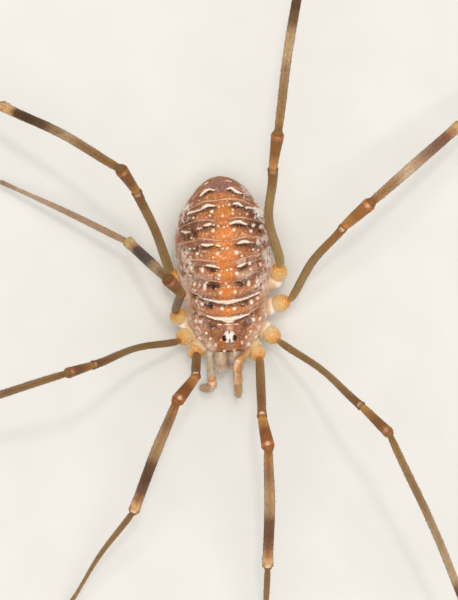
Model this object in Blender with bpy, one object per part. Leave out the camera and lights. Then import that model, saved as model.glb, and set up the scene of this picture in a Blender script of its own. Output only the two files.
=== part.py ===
"""A harvestman at life size, standing still on its eight feet. Metres, +Z up, head toward -Y."""

import math
from collections import namedtuple

import bmesh
import bpy
from mathutils import Matrix, Vector

MM = 0.001
NAME = "harvestman"

# All lengths below are in millimetres, in a frame whose zero is on the floor under the middle of the body.
BODY_AT = (4.87, 1.48)  # the body's middle in the part's frame, whose zero is the middle of the footprint
BODY_LENGTH = 7.0
HALF_LENGTH = BODY_LENGTH / 2
GAP = 0.04  # between neighbouring pieces
WIDEST_LEVEL = 0.36  # where the body is widest, as a share of its height
BACK_ROUND = 2.2  # exponent of the cross-section above that level
BELLY_ROUND = 2.6
# Distance from the tail's tip, half width, height of the back, height of the belly
BODY_STATIONS = (
    (0.0, 0.02, 1.95, 1.85),
    (0.08, 0.38, 2.15, 1.66),
    (0.25, 0.68, 2.42, 1.48),
    (0.55, 1.03, 2.72, 1.26),
    (0.95, 1.36, 3.02, 1.06),
    (1.65, 1.76, 3.36, 0.88),
    (2.4, 1.94, 3.58, 0.81),
    (3.0, 1.98, 3.64, 0.8),
    (3.6, 1.92, 3.56, 0.83),
    (4.3, 1.74, 3.36, 0.95),
    (4.9, 1.67, 3.14, 1.02),
    (5.6, 1.6, 2.92, 1.06),
    (5.95, 1.48, 2.8, 1.12),
    (6.3, 1.28, 2.66, 1.22),
    (6.65, 1.0, 2.44, 1.38),
    (6.93, 0.75, 2.18, 1.56),
    (7.0, 0.68, 2.04, 1.68),
)
BODY_SIDES = 26
BODY_RINGS = 24
# The seam between front body and abdomen leans: its place along Y at the back and at the belly
SEAM_BACK = (-1.47, 3.1)
SEAM_BELLY = (0.22, 0.8)

EYE_MOUND_AT = (0.035, -2.86, 2.72)
EYE_MOUND_HALF = (0.27, 0.3, 0.38)
EYE_RADIUS = 0.14
EYE_FROM_MOUND = (0.17, -0.06, 0.21)  # the left eye's middle from the mound's

LIMB_RADIUS = 0.25  # no leg is thinner than half a millimetre in the solids
COXA_RADII = (0.3, 0.44, 0.32)  # at its inner end, middle and outer end
HIP_RADIUS = 0.34
KNOB_RADIUS = 0.28
BEND_RADIUS = 0.36
BEND_STEPS = 3
TRIM = 0.08  # straight end of a bone beside a joint
FOOT_LEVEL = 0.2  # height of the tarsus's middle where it lies on the floor
LANDING_ANGLE = 24.0  # how steeply the tarsus starts down, in degrees
LIMB_SIDES = 2  # bevel resolution, which gives eight sides

# Femur, patella, tibia, metatarsus and tarsus of each pair
LEG_LENGTHS = {
    1: (4.5, 1.3, 5.2, 5.8, 8.0),
    2: (7.8, 1.7, 8.9, 8.6, 12.5),
    3: (4.5, 1.45, 5.0, 6.1, 8.5),
    4: (6.0, 1.55, 6.4, 8.2, 11.0),
}
# Inner end of each pair's coxa, on the animal's left
COXA_ROOTS = {
    1: (0.36, -2.62, 1.52),
    2: (0.42, -2.14, 1.42),
    3: (0.46, -1.6, 1.38),
    4: (0.5, -0.92, 1.34),
}
# Headings and slopes are degrees for femur, patella, tibia and metatarsus. Bows are sideways, for femur,
# tibia and metatarsus. The tarsus swings round by turn as it lies down.
Leg = namedtuple("Leg", "pair side coxa_end hip headings slopes bows turn")
LEGS = (
    Leg(
        1, "left", coxa_end=(1.0, -3.36, 1.15), hip=(1.18, -3.84, 1.65),
        headings=(-92.0, -81.7, -93.2, -95.4), slopes=(61.6, 27.1, -25.2, -35.0),
        bows=(0.0, 0.0, 0.0), turn=14.0,
    ),
    Leg(
        1, "right", coxa_end=(-1.34, -3.31, 1.15), hip=(-1.31, -3.53, 1.65),
        headings=(-92.0, -131.2, -114.9, -127.3), slopes=(80.3, 29.0, -26.6, -36.0),
        bows=(0.0, 0.0, -0.11), turn=16.0,
    ),
    Leg(
        2, "left", coxa_end=(1.46, -2.67, 1.2), hip=(1.98, -3.17, 1.7),
        headings=(-41.5, -48.2, -69.1, -66.0), slopes=(61.0, 38.3, -20.6, -41.0),
        bows=(0.15, 0.11, 0.0), turn=38.0,
    ),
    Leg(
        2, "right", coxa_end=(-1.57, -2.65, 1.2), hip=(-1.97, -2.94, 1.7),
        headings=(-168.8, -166.6, -166.5, -168.0), slopes=(65.8, 59.7, -30.6, -35.0),
        bows=(-0.18, 0.07, 0.0), turn=34.0,
    ),
    Leg(
        3, "left", coxa_end=(1.79, -1.77, 1.25), hip=(2.51, -1.57, 1.75),
        headings=(51.2, 38.3, 37.7, 35.0), slopes=(39.4, 23.1, -19.2, -26.5),
        bows=(0.18, 0.0, 0.0), turn=-30.0,
    ),
    Leg(
        3, "right", coxa_end=(-1.85, -2.16, 1.25), hip=(-2.06, -1.75, 1.75),
        headings=(61.2, 128.1, 134.9, 151.3), slopes=(80.3, 60.1, -63.8, -20.5),
        bows=(0.0, 0.0, -0.04), turn=24.0,
    ),
    Leg(
        4, "left", coxa_end=(2.06, -0.7, 1.32), hip=(2.2, -0.18, 2.02),
        headings=(92.6, 78.7, 78.4, 76.0), slopes=(52.9, 35.0, -14.5, -39.8),
        bows=(0.3, 0.06, 0.0), turn=-22.0,
    ),
    Leg(
        4, "right", coxa_end=(-2.03, -0.75, 1.32), hip=(-2.16, -0.14, 2.02),
        headings=(108.3, 121.2, 147.8, 145.0), slopes=(58.3, 52.7, -32.6, -29.8),
        bows=(-0.08, -0.13, 0.0), turn=-26.0,
    ),
)

# Centre lines with a radius at each point
CHELICERA = (
    ((0.0, -3.1, 1.72), 0.26),
    ((0.0, -3.7, 1.77), 0.27),
    ((0.0, -3.96, 1.62), 0.28),
    ((0.0, -4.05, 1.3), 0.26),
    ((0.0, -3.98, 0.98), 0.2),
    ((0.0, -3.92, 0.8), 0.12),
)
CHELICERA_ASIDE = {"left": 0.28, "right": -0.36}
PALP_LEFT = (
    ((0.74, -3.44, 1.62), 0.2),
    ((0.66, -3.6, 1.92), 0.22),
    ((0.42, -3.79, 2.42), 0.24),
    ((0.31, -3.9, 2.54), 0.25),
    ((0.27, -4.08, 2.55), 0.25),
    ((0.27, -4.3, 2.32), 0.25),
    ((0.27, -4.58, 2.0), 0.25),
    ((0.265, -4.95, 1.6), 0.25),
    ((0.255, -5.22, 1.26), 0.22),
    ((0.25, -5.32, 1.12), 0.12),
)
PALP_RIGHT = (
    ((-0.78, -3.42, 1.6), 0.22),
    ((-0.79, -3.7, 1.82), 0.23),
    ((-0.76, -4.3, 2.28), 0.24),
    ((-0.755, -4.5, 2.34), 0.25),
    ((-0.745, -4.66, 2.22), 0.25),
    ((-0.76, -4.76, 1.9), 0.25),
    ((-0.87, -4.87, 1.45), 0.25),
    ((-0.97, -4.9, 1.18), 0.25),
    ((-1.15, -4.87, 0.68), 0.22),
    ((-1.21, -4.85, 0.5), 0.12),
)

COLOURS = {
    "body": ((0.36, 0.16, 0.07), 0.55),
    "eye": ((0.01, 0.01, 0.01), 0.12),
    "mound": ((0.75, 0.62, 0.48), 0.6),
    "chelicera": ((0.62, 0.5, 0.36), 0.4),
    "palp": ((0.6, 0.33, 0.14), 0.5),
    "hip": ((0.78, 0.5, 0.2), 0.5),
    "femur": ((0.25, 0.15, 0.07), 0.5),
    "patella": ((0.22, 0.1, 0.04), 0.5),
    "tibia": ((0.24, 0.12, 0.05), 0.5),
    "metatarsus": ((0.2, 0.13, 0.06), 0.55),
    "tarsus": ((0.2, 0.13, 0.06), 0.6),
}
BONES = ("femur", "patella", "tibia", "metatarsus", "tarsus")


def clear_scene():
    for obj in list(bpy.data.objects):
        bpy.data.objects.remove(obj, do_unlink=True)
    for old in list(bpy.data.collections):
        bpy.data.collections.remove(old)


def new_collection(name):
    collection = bpy.data.collections.new(name)
    bpy.context.scene.collection.children.link(collection)
    return collection


def material_for(node, kind):
    colour, roughness = COLOURS[kind]
    material = bpy.data.materials.new(f"{node}_finish")
    material.use_nodes = True
    shader = material.node_tree.nodes["Principled BSDF"]
    shader.inputs["Base Color"].default_value = (*colour, 1.0)
    shader.inputs["Roughness"].default_value = roughness
    shader.inputs["Metallic"].default_value = 0.0
    return material


def add_object(collection, node, mesh, kind):
    obj = bpy.data.objects.new(node, mesh)
    obj.location = (BODY_AT[0] * MM, BODY_AT[1] * MM, 0.0)
    mesh.materials.clear()
    mesh.materials.append(material_for(node, kind))
    collection.objects.link(obj)
    return obj


def add_cutter(collection, node, mesh):
    obj = bpy.data.objects.new(node, mesh)
    obj.location = (BODY_AT[0] * MM, BODY_AT[1] * MM, 0.0)
    obj.hide_render = True
    obj.display_type = "WIRE"
    collection.objects.link(obj)
    return obj


def boolean(target, operation, tool):
    modifier = target.modifiers.new(f"{operation.lower()}_{tool.name}", "BOOLEAN")
    modifier.operation = operation
    modifier.solver = "EXACT"
    modifier.object = tool


def mesh_from(bm, name):
    mesh = bpy.data.meshes.new(name)
    bm.to_mesh(mesh)
    bm.free()
    return mesh


def between(stations, place):
    """The row of a station table at a place along it, with a smooth curve through the stations."""
    last = len(stations) - 1
    index = 0
    while index < last - 1 and place > stations[index + 1][0]:
        index += 1
    low = stations[index]
    high = stations[index + 1]
    before = stations[max(index - 1, 0)]
    after = stations[min(index + 2, last)]
    span = high[0] - low[0]
    t = min(max((place - low[0]) / span, 0.0), 1.0)
    row = []
    for k in range(1, len(low)):
        here = (high[k] - low[k]) / span
        start = here
        if low is not before:
            back = (low[k] - before[k]) / (low[0] - before[0])
            start = 2 * back * here / (back + here) if back * here > 0 else 0.0
        end = here
        if high is not after:
            ahead = (after[k] - high[k]) / (after[0] - high[0])
            end = 2 * ahead * here / (ahead + here) if ahead * here > 0 else 0.0
        bend = (3 - 2 * t) * t * t
        rise = start * t * (1 - t) * (1 - t) - end * t * t * (1 - t)
        row.append(low[k] + (high[k] - low[k]) * bend + rise * span)
    return row


def rounded(value, exponent):
    return math.copysign(abs(value) ** (2 / exponent), value)


def body_mesh(name, grow=0.0):
    """The whole body as one closed shape, made wider all round by grow."""
    bm = bmesh.new()
    bmesh.ops.create_uvsphere(bm, u_segments=BODY_SIDES, v_segments=BODY_RINGS, radius=1.0)
    for vert in bm.verts:
        along = vert.co.z
        reach = math.hypot(vert.co.x, vert.co.y)
        from_tail = HALF_LENGTH * (1 - along)
        half, back, belly = between(BODY_STATIONS, from_tail)
        level = belly + WIDEST_LEVEL * (back - belly)
        y = along * (HALF_LENGTH + grow)
        if reach < 1e-6:
            vert.co = Vector((0.0, y, level)) * MM
            continue
        across = vert.co.x / reach
        up = vert.co.y / reach
        if up >= 0:
            x = rounded(across, BACK_ROUND) * (half + grow)
            z = level + rounded(up, BACK_ROUND) * (back + grow - level)
        else:
            x = rounded(across, BELLY_ROUND) * (half + grow)
            z = level + rounded(up, BELLY_ROUND) * (level - belly + grow)
        vert.co = Vector((x, y, z)) * MM
    bmesh.ops.recalc_face_normals(bm, faces=bm.faces)
    return mesh_from(bm, name)


def seam_mesh(name, ahead, offset):
    """A large block on one side of the leaning seam: in front of it if ahead, else behind."""
    back = Vector((0.0, SEAM_BACK[0], SEAM_BACK[1]))
    belly = Vector((0.0, SEAM_BELLY[0], SEAM_BELLY[1]))
    rise = (back - belly).normalized()
    forward = Vector((0.0, -rise.z, rise.y))
    if forward.y > 0:
        forward = -forward
    toward = forward if ahead else -forward
    size = 12.0
    middle = (back + belly) / 2 + toward * (size / 2 + offset)
    frame = Matrix((Vector((1.0, 0.0, 0.0)), toward, rise)).transposed().to_4x4()
    bm = bmesh.new()
    bmesh.ops.create_cube(bm, size=size * MM, matrix=Matrix.Translation(middle * MM) @ frame)
    bmesh.ops.recalc_face_normals(bm, faces=bm.faces)
    return mesh_from(bm, name)


def ellipsoid_mesh(name, at, half, around=16, rings=10, pole=(0.0, 0.0, 1.0)):
    """An ellipsoid whose third half length lies along pole."""
    bm = bmesh.new()
    turn = Vector(pole).to_track_quat("Z", "Y").to_matrix().to_4x4()
    shape = Matrix.Translation(Vector(at) * MM) @ turn @ Matrix.Diagonal((*half, 1.0))
    bmesh.ops.create_uvsphere(bm, u_segments=around, v_segments=rings, radius=MM, matrix=shape)
    return mesh_from(bm, name)


def tube_mesh(name, path, floor=False):
    """A closed round bar along path, which holds points and radii. With floor, what is below it is cut off."""
    curve = bpy.data.curves.new(name, "CURVE")
    curve.dimensions = "3D"
    curve.bevel_depth = MM
    curve.bevel_resolution = LIMB_SIDES
    curve.use_fill_caps = True
    spline = curve.splines.new("POLY")
    spline.points.add(len(path) - 1)
    for point, (place, radius) in zip(spline.points, path):
        point.co = (*(Vector(place) * MM), 1.0)
        point.radius = radius
    holder = bpy.data.objects.new(name, curve)
    bpy.context.scene.collection.objects.link(holder)
    seen = bpy.context.evaluated_depsgraph_get()
    mesh = bpy.data.meshes.new_from_object(holder.evaluated_get(seen))
    bpy.data.objects.remove(holder, do_unlink=True)
    bpy.data.curves.remove(curve)
    bm = bmesh.new()
    bm.from_mesh(mesh)
    bpy.data.meshes.remove(mesh)
    bmesh.ops.remove_doubles(bm, verts=bm.verts, dist=0.001 * MM)
    if floor:
        parts = list(bm.verts) + list(bm.edges) + list(bm.faces)
        cut = bmesh.ops.bisect_plane(bm, geom=parts, plane_co=(0, 0, 0), plane_no=(0, 0, 1), clear_inner=True)
        rim = [item for item in cut["geom_cut"] if isinstance(item, bmesh.types.BMEdge)]
        bmesh.ops.edgeloop_fill(bm, edges=rim)
    bmesh.ops.recalc_face_normals(bm, faces=bm.faces)
    return mesh_from(bm, name)


def direction(heading, slope):
    flat = math.cos(math.radians(slope))
    turn = math.radians(heading)
    return Vector((flat * math.cos(turn), flat * math.sin(turn), math.sin(math.radians(slope))))


def half_bend(joint, before, after, leaving):
    """Points on one half of the rounded bend at a joint, and the direction at the bend's middle."""
    bend = before.angle(after)
    middle = (before + after).normalized()
    if bend < 0.02:
        return [joint.copy()], middle
    reach = BEND_RADIUS * math.tan(bend / 2)
    start = joint - before * reach
    inward = (after - before * before.dot(after)).normalized()
    steps = [k / BEND_STEPS for k in range(BEND_STEPS + 1)]
    angles = [bend / 2 * (1 + t if leaving else t) for t in steps]
    points = [start + (before * math.sin(a) + inward * (1 - math.cos(a))) * BEND_RADIUS for a in angles]
    return points, middle


def bone_path(start, end, bow, sags=3):
    """The points between two joints, bowed sideways as seen from above."""
    run = end - start
    aside = Vector((-run.y, run.x, 0.0))
    if bow == 0.0 or aside.length < 1e-6:
        return []
    aside.normalize()
    shares = [k / (sags + 1) for k in range(1, sags + 1)]
    return [start + run * t + aside * (bow * math.sin(math.pi * t) ** 2) for t in shares]


def tarsus_points(start, heading, length, turn):
    """The tarsus from its joint down to the floor and along it."""
    slope = math.radians(LANDING_ANGLE)
    drop = start.z - FOOT_LEVEL
    curve = drop / (1 - math.cos(slope))
    landing = curve * slope
    steps = 10
    step = length / steps
    points = []
    here = start.copy()
    for k in range(steps):
        middle = (k + 0.5) * step
        lean = slope * max(0.0, 1 - middle / landing)
        facing = math.radians(heading + turn * (middle / length) ** 1.4)
        here += Vector((math.cos(facing), math.sin(facing), 0.0)) * (step * math.cos(lean))
        left = slope * max(0.0, 1 - (k + 1) * step / landing)
        here.z = FOOT_LEVEL + curve * (1 - math.cos(left))
        points.append(here.copy())
    return points


def joined(first, bows, last, first_middle, last_middle, radii):
    """One bone's points with radii. Its ends are square to the middle of each bend and half a gap short of it."""
    points = []
    if first_middle is None:
        points.extend(first)
    else:
        begin = first[0] + first_middle * (GAP / 2)
        points.append(begin)
        points.append(begin + first_middle * TRIM)
        points.extend(point for point in first[1:] if (point - begin).length > 1.6 * TRIM)
    points.extend(bows)
    if last_middle is None:
        points.extend(last)
    else:
        finish = last[-1] - last_middle * (GAP / 2)
        points.extend(point for point in last[:-1] if (point - finish).length > 1.6 * TRIM)
        points.append(finish - last_middle * TRIM)
        points.append(finish)
    lengths = [0.0]
    for a, b in zip(points, points[1:]):
        lengths.append(lengths[-1] + (b - a).length)
    whole = lengths[-1]
    path = []
    for point, run in zip(points, lengths):
        share = run / whole
        low, middle, high = radii
        radius = low + (middle - low) * share * 2
        if share > 0.5:
            radius = middle + (high - middle) * (share * 2 - 1)
        path.append((point, radius))
    return path


def hip_ball(leg, name, grow=0.0):
    """The trochanter, a ball as long as the way from the coxa's end to the femur, made larger by grow."""
    start, end = Vector(leg.coxa_end), Vector(leg.hip)
    half = max(HIP_RADIUS, (end - start).length / 2) + grow
    side = HIP_RADIUS + grow
    return ellipsoid_mesh(name, (start + end) / 2, (side, side, half), 12, 8, end - start)


def leg_paths(leg):
    """The centre line of the coxa and of each bone past the trochanter, as points with radii."""
    lengths = LEG_LENGTHS[leg.pair]
    root = Vector(COXA_ROOTS[leg.pair])
    if leg.side == "right":
        root.x = -root.x
    joints = [Vector(leg.hip)]
    for heading, slope, length in zip(leg.headings, leg.slopes, lengths):
        joints.append(joints[-1] + direction(heading, slope) * length)
    foot = tarsus_points(joints[-1], leg.headings[-1], lengths[-1], leg.turn)
    ways = [(b - a).normalized() for a, b in zip(joints, joints[1:])]
    ways.append((foot[0] - joints[-1]).normalized())
    swings = (leg.bows[0], 0.0, leg.bows[1], leg.bows[2], 0.0)
    radii = (
        (LIMB_RADIUS, LIMB_RADIUS, KNOB_RADIUS),
        (LIMB_RADIUS, KNOB_RADIUS, KNOB_RADIUS),
        (LIMB_RADIUS, KNOB_RADIUS, KNOB_RADIUS),
        (LIMB_RADIUS, LIMB_RADIUS, LIMB_RADIUS),
        (LIMB_RADIUS, LIMB_RADIUS, LIMB_RADIUS * 0.9),
    )
    paths = [joined([root], [(root + Vector(leg.coxa_end)) / 2], [Vector(leg.coxa_end)], None, None, COXA_RADII)]
    for k, start in enumerate(joints):
        first, first_middle = [start], None
        if k > 0:
            first, first_middle = half_bend(start, ways[k - 1], ways[k], True)
        if k == len(joints) - 1:
            paths.append(joined(first, [], foot, first_middle, None, radii[k]))
            continue
        last, last_middle = half_bend(joints[k + 1], ways[k], ways[k + 1], False)
        between_joints = bone_path(start, joints[k + 1], swings[k])
        paths.append(joined(first, between_joints, last, first_middle, last_middle, radii[k]))
    return paths


def build_legs(parts, cutters):
    """All legs. Returns each coxa's path and the room that each trochanter takes."""
    coxae, rooms = {}, []
    for leg in LEGS:
        coxa, *paths = leg_paths(leg)
        limb = f"leg{leg.pair}_{leg.side}"
        coxae[f"coxa{leg.pair}_{leg.side}"] = coxa
        add_object(parts, f"{limb}_trochanter", hip_ball(leg, f"{limb}_trochanter"), "hip")
        room = add_cutter(cutters, f"{limb}_hip_room", hip_ball(leg, f"{limb}_hip_room", GAP))
        rooms.append(room)
        for bone, path in zip(BONES, paths):
            node = f"{limb}_{bone}"
            limb_piece = add_object(parts, node, tube_mesh(node, path, bone == "tarsus"), bone)
            if bone == "femur":
                boolean(limb_piece, "DIFFERENCE", room)
    return coxae, rooms


def build_body(parts, cutters, coxae, rooms):
    front = add_object(parts, "prosoma", body_mesh("prosoma"), "body")
    rear = add_object(parts, "opisthosoma", body_mesh("opisthosoma"), "body")
    behind = add_cutter(cutters, "behind_seam", seam_mesh("behind_seam", False, -GAP / 2))
    before = add_cutter(cutters, "before_seam", seam_mesh("before_seam", True, -GAP / 2))
    boolean(front, "DIFFERENCE", behind)
    boolean(rear, "DIFFERENCE", before)
    for node, path in coxae.items():
        boolean(front, "UNION", add_cutter(cutters, node, tube_mesh(node, path)))
        if "coxa4" in node:
            wide = [(place, radius + GAP) for place, radius in path]
            boolean(rear, "DIFFERENCE", add_cutter(cutters, f"{node}_room", tube_mesh(f"{node}_room", wide)))
    for room in rooms:
        boolean(front, "DIFFERENCE", room)
        if "leg4" in room.name:
            boolean(rear, "DIFFERENCE", room)


def build_head(parts, cutters):
    skin = add_cutter(cutters, "body_room", body_mesh("body_room", GAP))
    mound = add_object(parts, "ocularium", ellipsoid_mesh("ocularium", EYE_MOUND_AT, EYE_MOUND_HALF), "mound")
    boolean(mound, "DIFFERENCE", skin)
    for side, sign in (("left", 1), ("right", -1)):
        aside = Vector(EYE_FROM_MOUND)
        aside.x *= sign
        at = Vector(EYE_MOUND_AT) + aside
        eye = f"eye_{side}"
        add_object(parts, eye, ellipsoid_mesh(eye, at, (EYE_RADIUS,) * 3, 12, 8), "eye")
        socket = ellipsoid_mesh(f"{eye}_socket", at, (EYE_RADIUS + GAP,) * 3, 12, 8)
        boolean(mound, "DIFFERENCE", add_cutter(cutters, f"{eye}_socket", socket))
        jaw = f"chelicera_{side}"
        shift = CHELICERA_ASIDE[side]
        line = [((place[0] + shift, place[1], place[2]), radius) for place, radius in CHELICERA]
        boolean(add_object(parts, jaw, tube_mesh(jaw, line), "chelicera"), "DIFFERENCE", skin)
        palp = f"pedipalp_{side}"
        line = PALP_LEFT if side == "left" else PALP_RIGHT
        boolean(add_object(parts, palp, tube_mesh(palp, line), "palp"), "DIFFERENCE", skin)


def main():
    clear_scene()
    parts = new_collection(NAME)
    cutters = new_collection("cutters")
    coxae, rooms = build_legs(parts, cutters)
    build_body(parts, cutters, coxae, rooms)
    build_head(parts, cutters)


main()
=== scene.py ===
"""The looks of a life-size harvestman: back skin with its markings, head, jaws, feelers and eight banded legs."""

import functools
import itertools
import logging
import math
from collections.abc import Sequence
from dataclasses import dataclass, field, replace
from enum import Enum

import bpy
import numpy as np
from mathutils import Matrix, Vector


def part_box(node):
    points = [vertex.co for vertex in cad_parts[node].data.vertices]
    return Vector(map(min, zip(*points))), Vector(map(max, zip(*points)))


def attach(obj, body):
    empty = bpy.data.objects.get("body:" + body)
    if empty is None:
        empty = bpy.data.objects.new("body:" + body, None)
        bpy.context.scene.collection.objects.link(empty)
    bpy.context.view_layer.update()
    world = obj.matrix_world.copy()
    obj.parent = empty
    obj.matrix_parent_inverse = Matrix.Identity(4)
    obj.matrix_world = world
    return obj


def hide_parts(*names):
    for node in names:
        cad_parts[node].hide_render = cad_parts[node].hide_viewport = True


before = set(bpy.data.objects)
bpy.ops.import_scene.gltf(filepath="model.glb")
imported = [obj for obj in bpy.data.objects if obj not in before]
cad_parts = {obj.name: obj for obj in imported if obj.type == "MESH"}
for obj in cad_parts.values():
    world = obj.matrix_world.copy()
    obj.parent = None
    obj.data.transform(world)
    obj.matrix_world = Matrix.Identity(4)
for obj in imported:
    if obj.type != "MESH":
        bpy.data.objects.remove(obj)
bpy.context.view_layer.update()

LOG = logging.getLogger("harvestman")
Array = np.ndarray
MM = 0.001
BODY_LENGTH = 7.0
HALF_LENGTH = BODY_LENGTH / 2
UP = np.array((0.0, 0.0, 1.0))
PATCH = 0.003  # side of a hair's patch on the bake's map
HAIR_FLOOR = 0.012  # no hair's tip is lower than this over the floor, in millimetres


class Slot(Enum):
    """The names of the material slots."""

    BODY = "body_cuticle"
    MOUND = "eye_mound_cuticle"
    EYE = "eye_lens"
    JAW = "chelicera_cuticle"
    PALP = "pedipalp_cuticle"
    TROCHANTER = "trochanter_cuticle"
    FEMUR = "femur_cuticle"
    PATELLA = "patella_cuticle"
    TIBIA = "tibia_cuticle"
    METATARSUS = "metatarsus_cuticle"
    TARSUS = "tarsus_cuticle"


class Side(Enum):
    """The animal's own left is +X."""

    LEFT = 1
    RIGHT = -1

    @property
    def word(self) -> str:
        """The side as it stands in names."""
        return self.name.lower()


def linear(colour: str) -> Array:
    """Turn an sRGB hex colour into linear red, green and blue.

    Args:
        colour: The colour as "#rrggbb".

    Returns:
        Three linear values from 0 to 1.
    """
    parts = np.array([int(colour[k : k + 2], 16) for k in (1, 3, 5)]) / 255
    return np.where(parts <= 0.04045, parts / 12.92, ((parts + 0.055) / 1.055) ** 2.4)


def rgba(colour: str) -> tuple[float, ...]:
    """A hex colour as a node's colour socket takes it."""
    return (*linear(colour), 1.0)


def ease(low: float, high: float, values: Array) -> Array:
    """Rise smoothly from 0 at low to 1 at high, or fall where low is above high.

    Args:
        low: Where the result is 0.
        high: Where the result is 1.
        values: The places to evaluate.

    Returns:
        The eased values, in the shape of values.
    """
    t = np.clip((values - low) / (high - low), 0.0, 1.0)
    return t * t * (3 - 2 * t)


def window(start: float, end: float, soft: float, values: Array) -> Array:
    """1 between start and end with soft edges centred on them, else 0."""
    return ease(start - soft, start + soft, values) * ease(end + soft, end - soft, values)


def unit(vectors: Array) -> Array:
    """The vectors at length one."""
    return vectors / np.maximum(np.linalg.norm(vectors, axis=-1, keepdims=True), 1e-12)


def grain(points: Array, size: float, seed: int) -> Array:
    """Smooth random values that vary over a given distance.

    Args:
        points: Places in millimetres, as rows.
        size: The distance over which the values change, in millimetres.
        seed: Picks one pattern.

    Returns:
        One value from -1 to 1 for each place.
    """
    cells = np.floor(points / size).astype(np.int64)
    share = points / size - cells
    share = share * share * (3 - 2 * share)
    total = np.zeros(len(points))
    for corner in itertools.product((0, 1), repeat=3):
        key = (cells + corner) @ np.array((73856093, 19349663, 83492791)) + seed * 2654435761
        key = (key ^ (key >> 13)) * 1274126177
        value = ((key ^ (key >> 16)) & 0xFFFF) / 32767.5 - 1
        total += value * np.prod(np.where(corner, share, 1 - share), axis=1)
    return total


def stations_at(stations: Sequence[Sequence[float]], places: Array) -> Array:
    """Read a table of stations along smooth curves that never overshoot.

    Args:
        stations: Rows of a place and its values, in rising order of place.
        places: Where to read the table.

    Returns:
        One row of values for each place.
    """
    table = np.array(stations, float)
    knots, values = table[:, 0], table[:, 1:]
    spans = np.diff(knots)[:, None]
    rises = np.diff(values, axis=0) / spans
    before, after = rises[:-1], rises[1:]
    same = before * after > 0
    middle = np.where(same, 2 * before * after / np.where(same, before + after, 1), 0.0)
    slopes = np.vstack([rises[:1], middle, rises[-1:]])
    places = np.clip(places, knots[0], knots[-1])
    index = np.clip(np.searchsorted(knots, places, side="right") - 1, 0, len(knots) - 2)
    span = spans[index]
    t = ((places - knots[index])[:, None]) / span
    return (
        values[index] * (1 + 2 * t) * (1 - t) ** 2
        + values[index + 1] * t * t * (3 - 2 * t)
        + slopes[index] * span * t * (1 - t) ** 2
        - slopes[index + 1] * span * t * t * (1 - t)
    )


def stained(stops: Sequence[tuple[float, str]], places: Array) -> Array:
    """Linear colours read along a row of colour stops.

    Args:
        stops: Pairs of a place and a hex colour, in rising order.
        places: Where to read them.

    Returns:
        Red, green and blue for each place.
    """
    colours = np.array([linear(colour) for _, colour in stops])
    knots = np.array([place for place, _ in stops])
    eased = np.interp(places, knots, np.arange(len(knots), dtype=float))
    whole = np.floor(eased)
    eased = whole + ease(0.0, 1.0, eased - whole)
    return np.stack([np.interp(eased, np.arange(len(knots)), colours[:, k]) for k in range(3)], axis=1)


@dataclass
class Shape:
    """A mesh in the making: points in millimetres in the body's frame, faces, and values on its points."""

    points: Array
    faces: list[tuple[int, ...]]
    layers: dict[str, Array] = field(default_factory=dict)

    def joined(self, *others: "Shape") -> "Shape":
        """Put shapes that have the same layers into one.

        Args:
            others: The shapes to add.

        Returns:
            One shape that holds all of them.
        """
        every = (self, *others)
        faces, first = [], 0
        for shape in every:
            faces.extend(tuple(k + first for k in face) for face in shape.faces)
            first += len(shape.points)
        layers = {name: np.concatenate([shape.layers[name] for shape in every]) for name in self.layers}
        return Shape(np.concatenate([shape.points for shape in every]), faces, layers)


def ring_faces(rings: int, sides: int) -> list[tuple[int, ...]]:
    """Faces of a closed skin over rings of points, with a fan at each end.

    Args:
        rings: How many rings there are.
        sides: How many points each ring has. The first ring's fan uses the point after all the rings, and the
            last ring's fan the one after that.

    Returns:
        Faces that point out where each ring turns right-handed about the way it is passed.
    """
    row = np.arange(sides)
    after = np.roll(row, -1)
    base = np.arange(rings - 1)[:, None] * sides
    quads = np.stack([base + row, base + after, base + sides + after, base + sides + row], axis=-1)
    start, end = rings * sides, rings * sides + 1
    last = (rings - 1) * sides
    faces = [tuple(quad) for quad in quads.reshape(-1, 4).tolist()]
    faces += [(start, int(b), int(a)) for a, b in zip(row, after)]
    faces += [(end, int(last + a), int(last + b)) for a, b in zip(row, after)]
    return faces


def with_ends(values: Array) -> Array:
    """Rings of values as rows, followed by the middle of the first ring and of the last."""
    ends = np.stack([values[0].mean(axis=0), values[-1].mean(axis=0)])
    return np.concatenate([values.reshape(-1, values.shape[-1]), ends])


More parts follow.
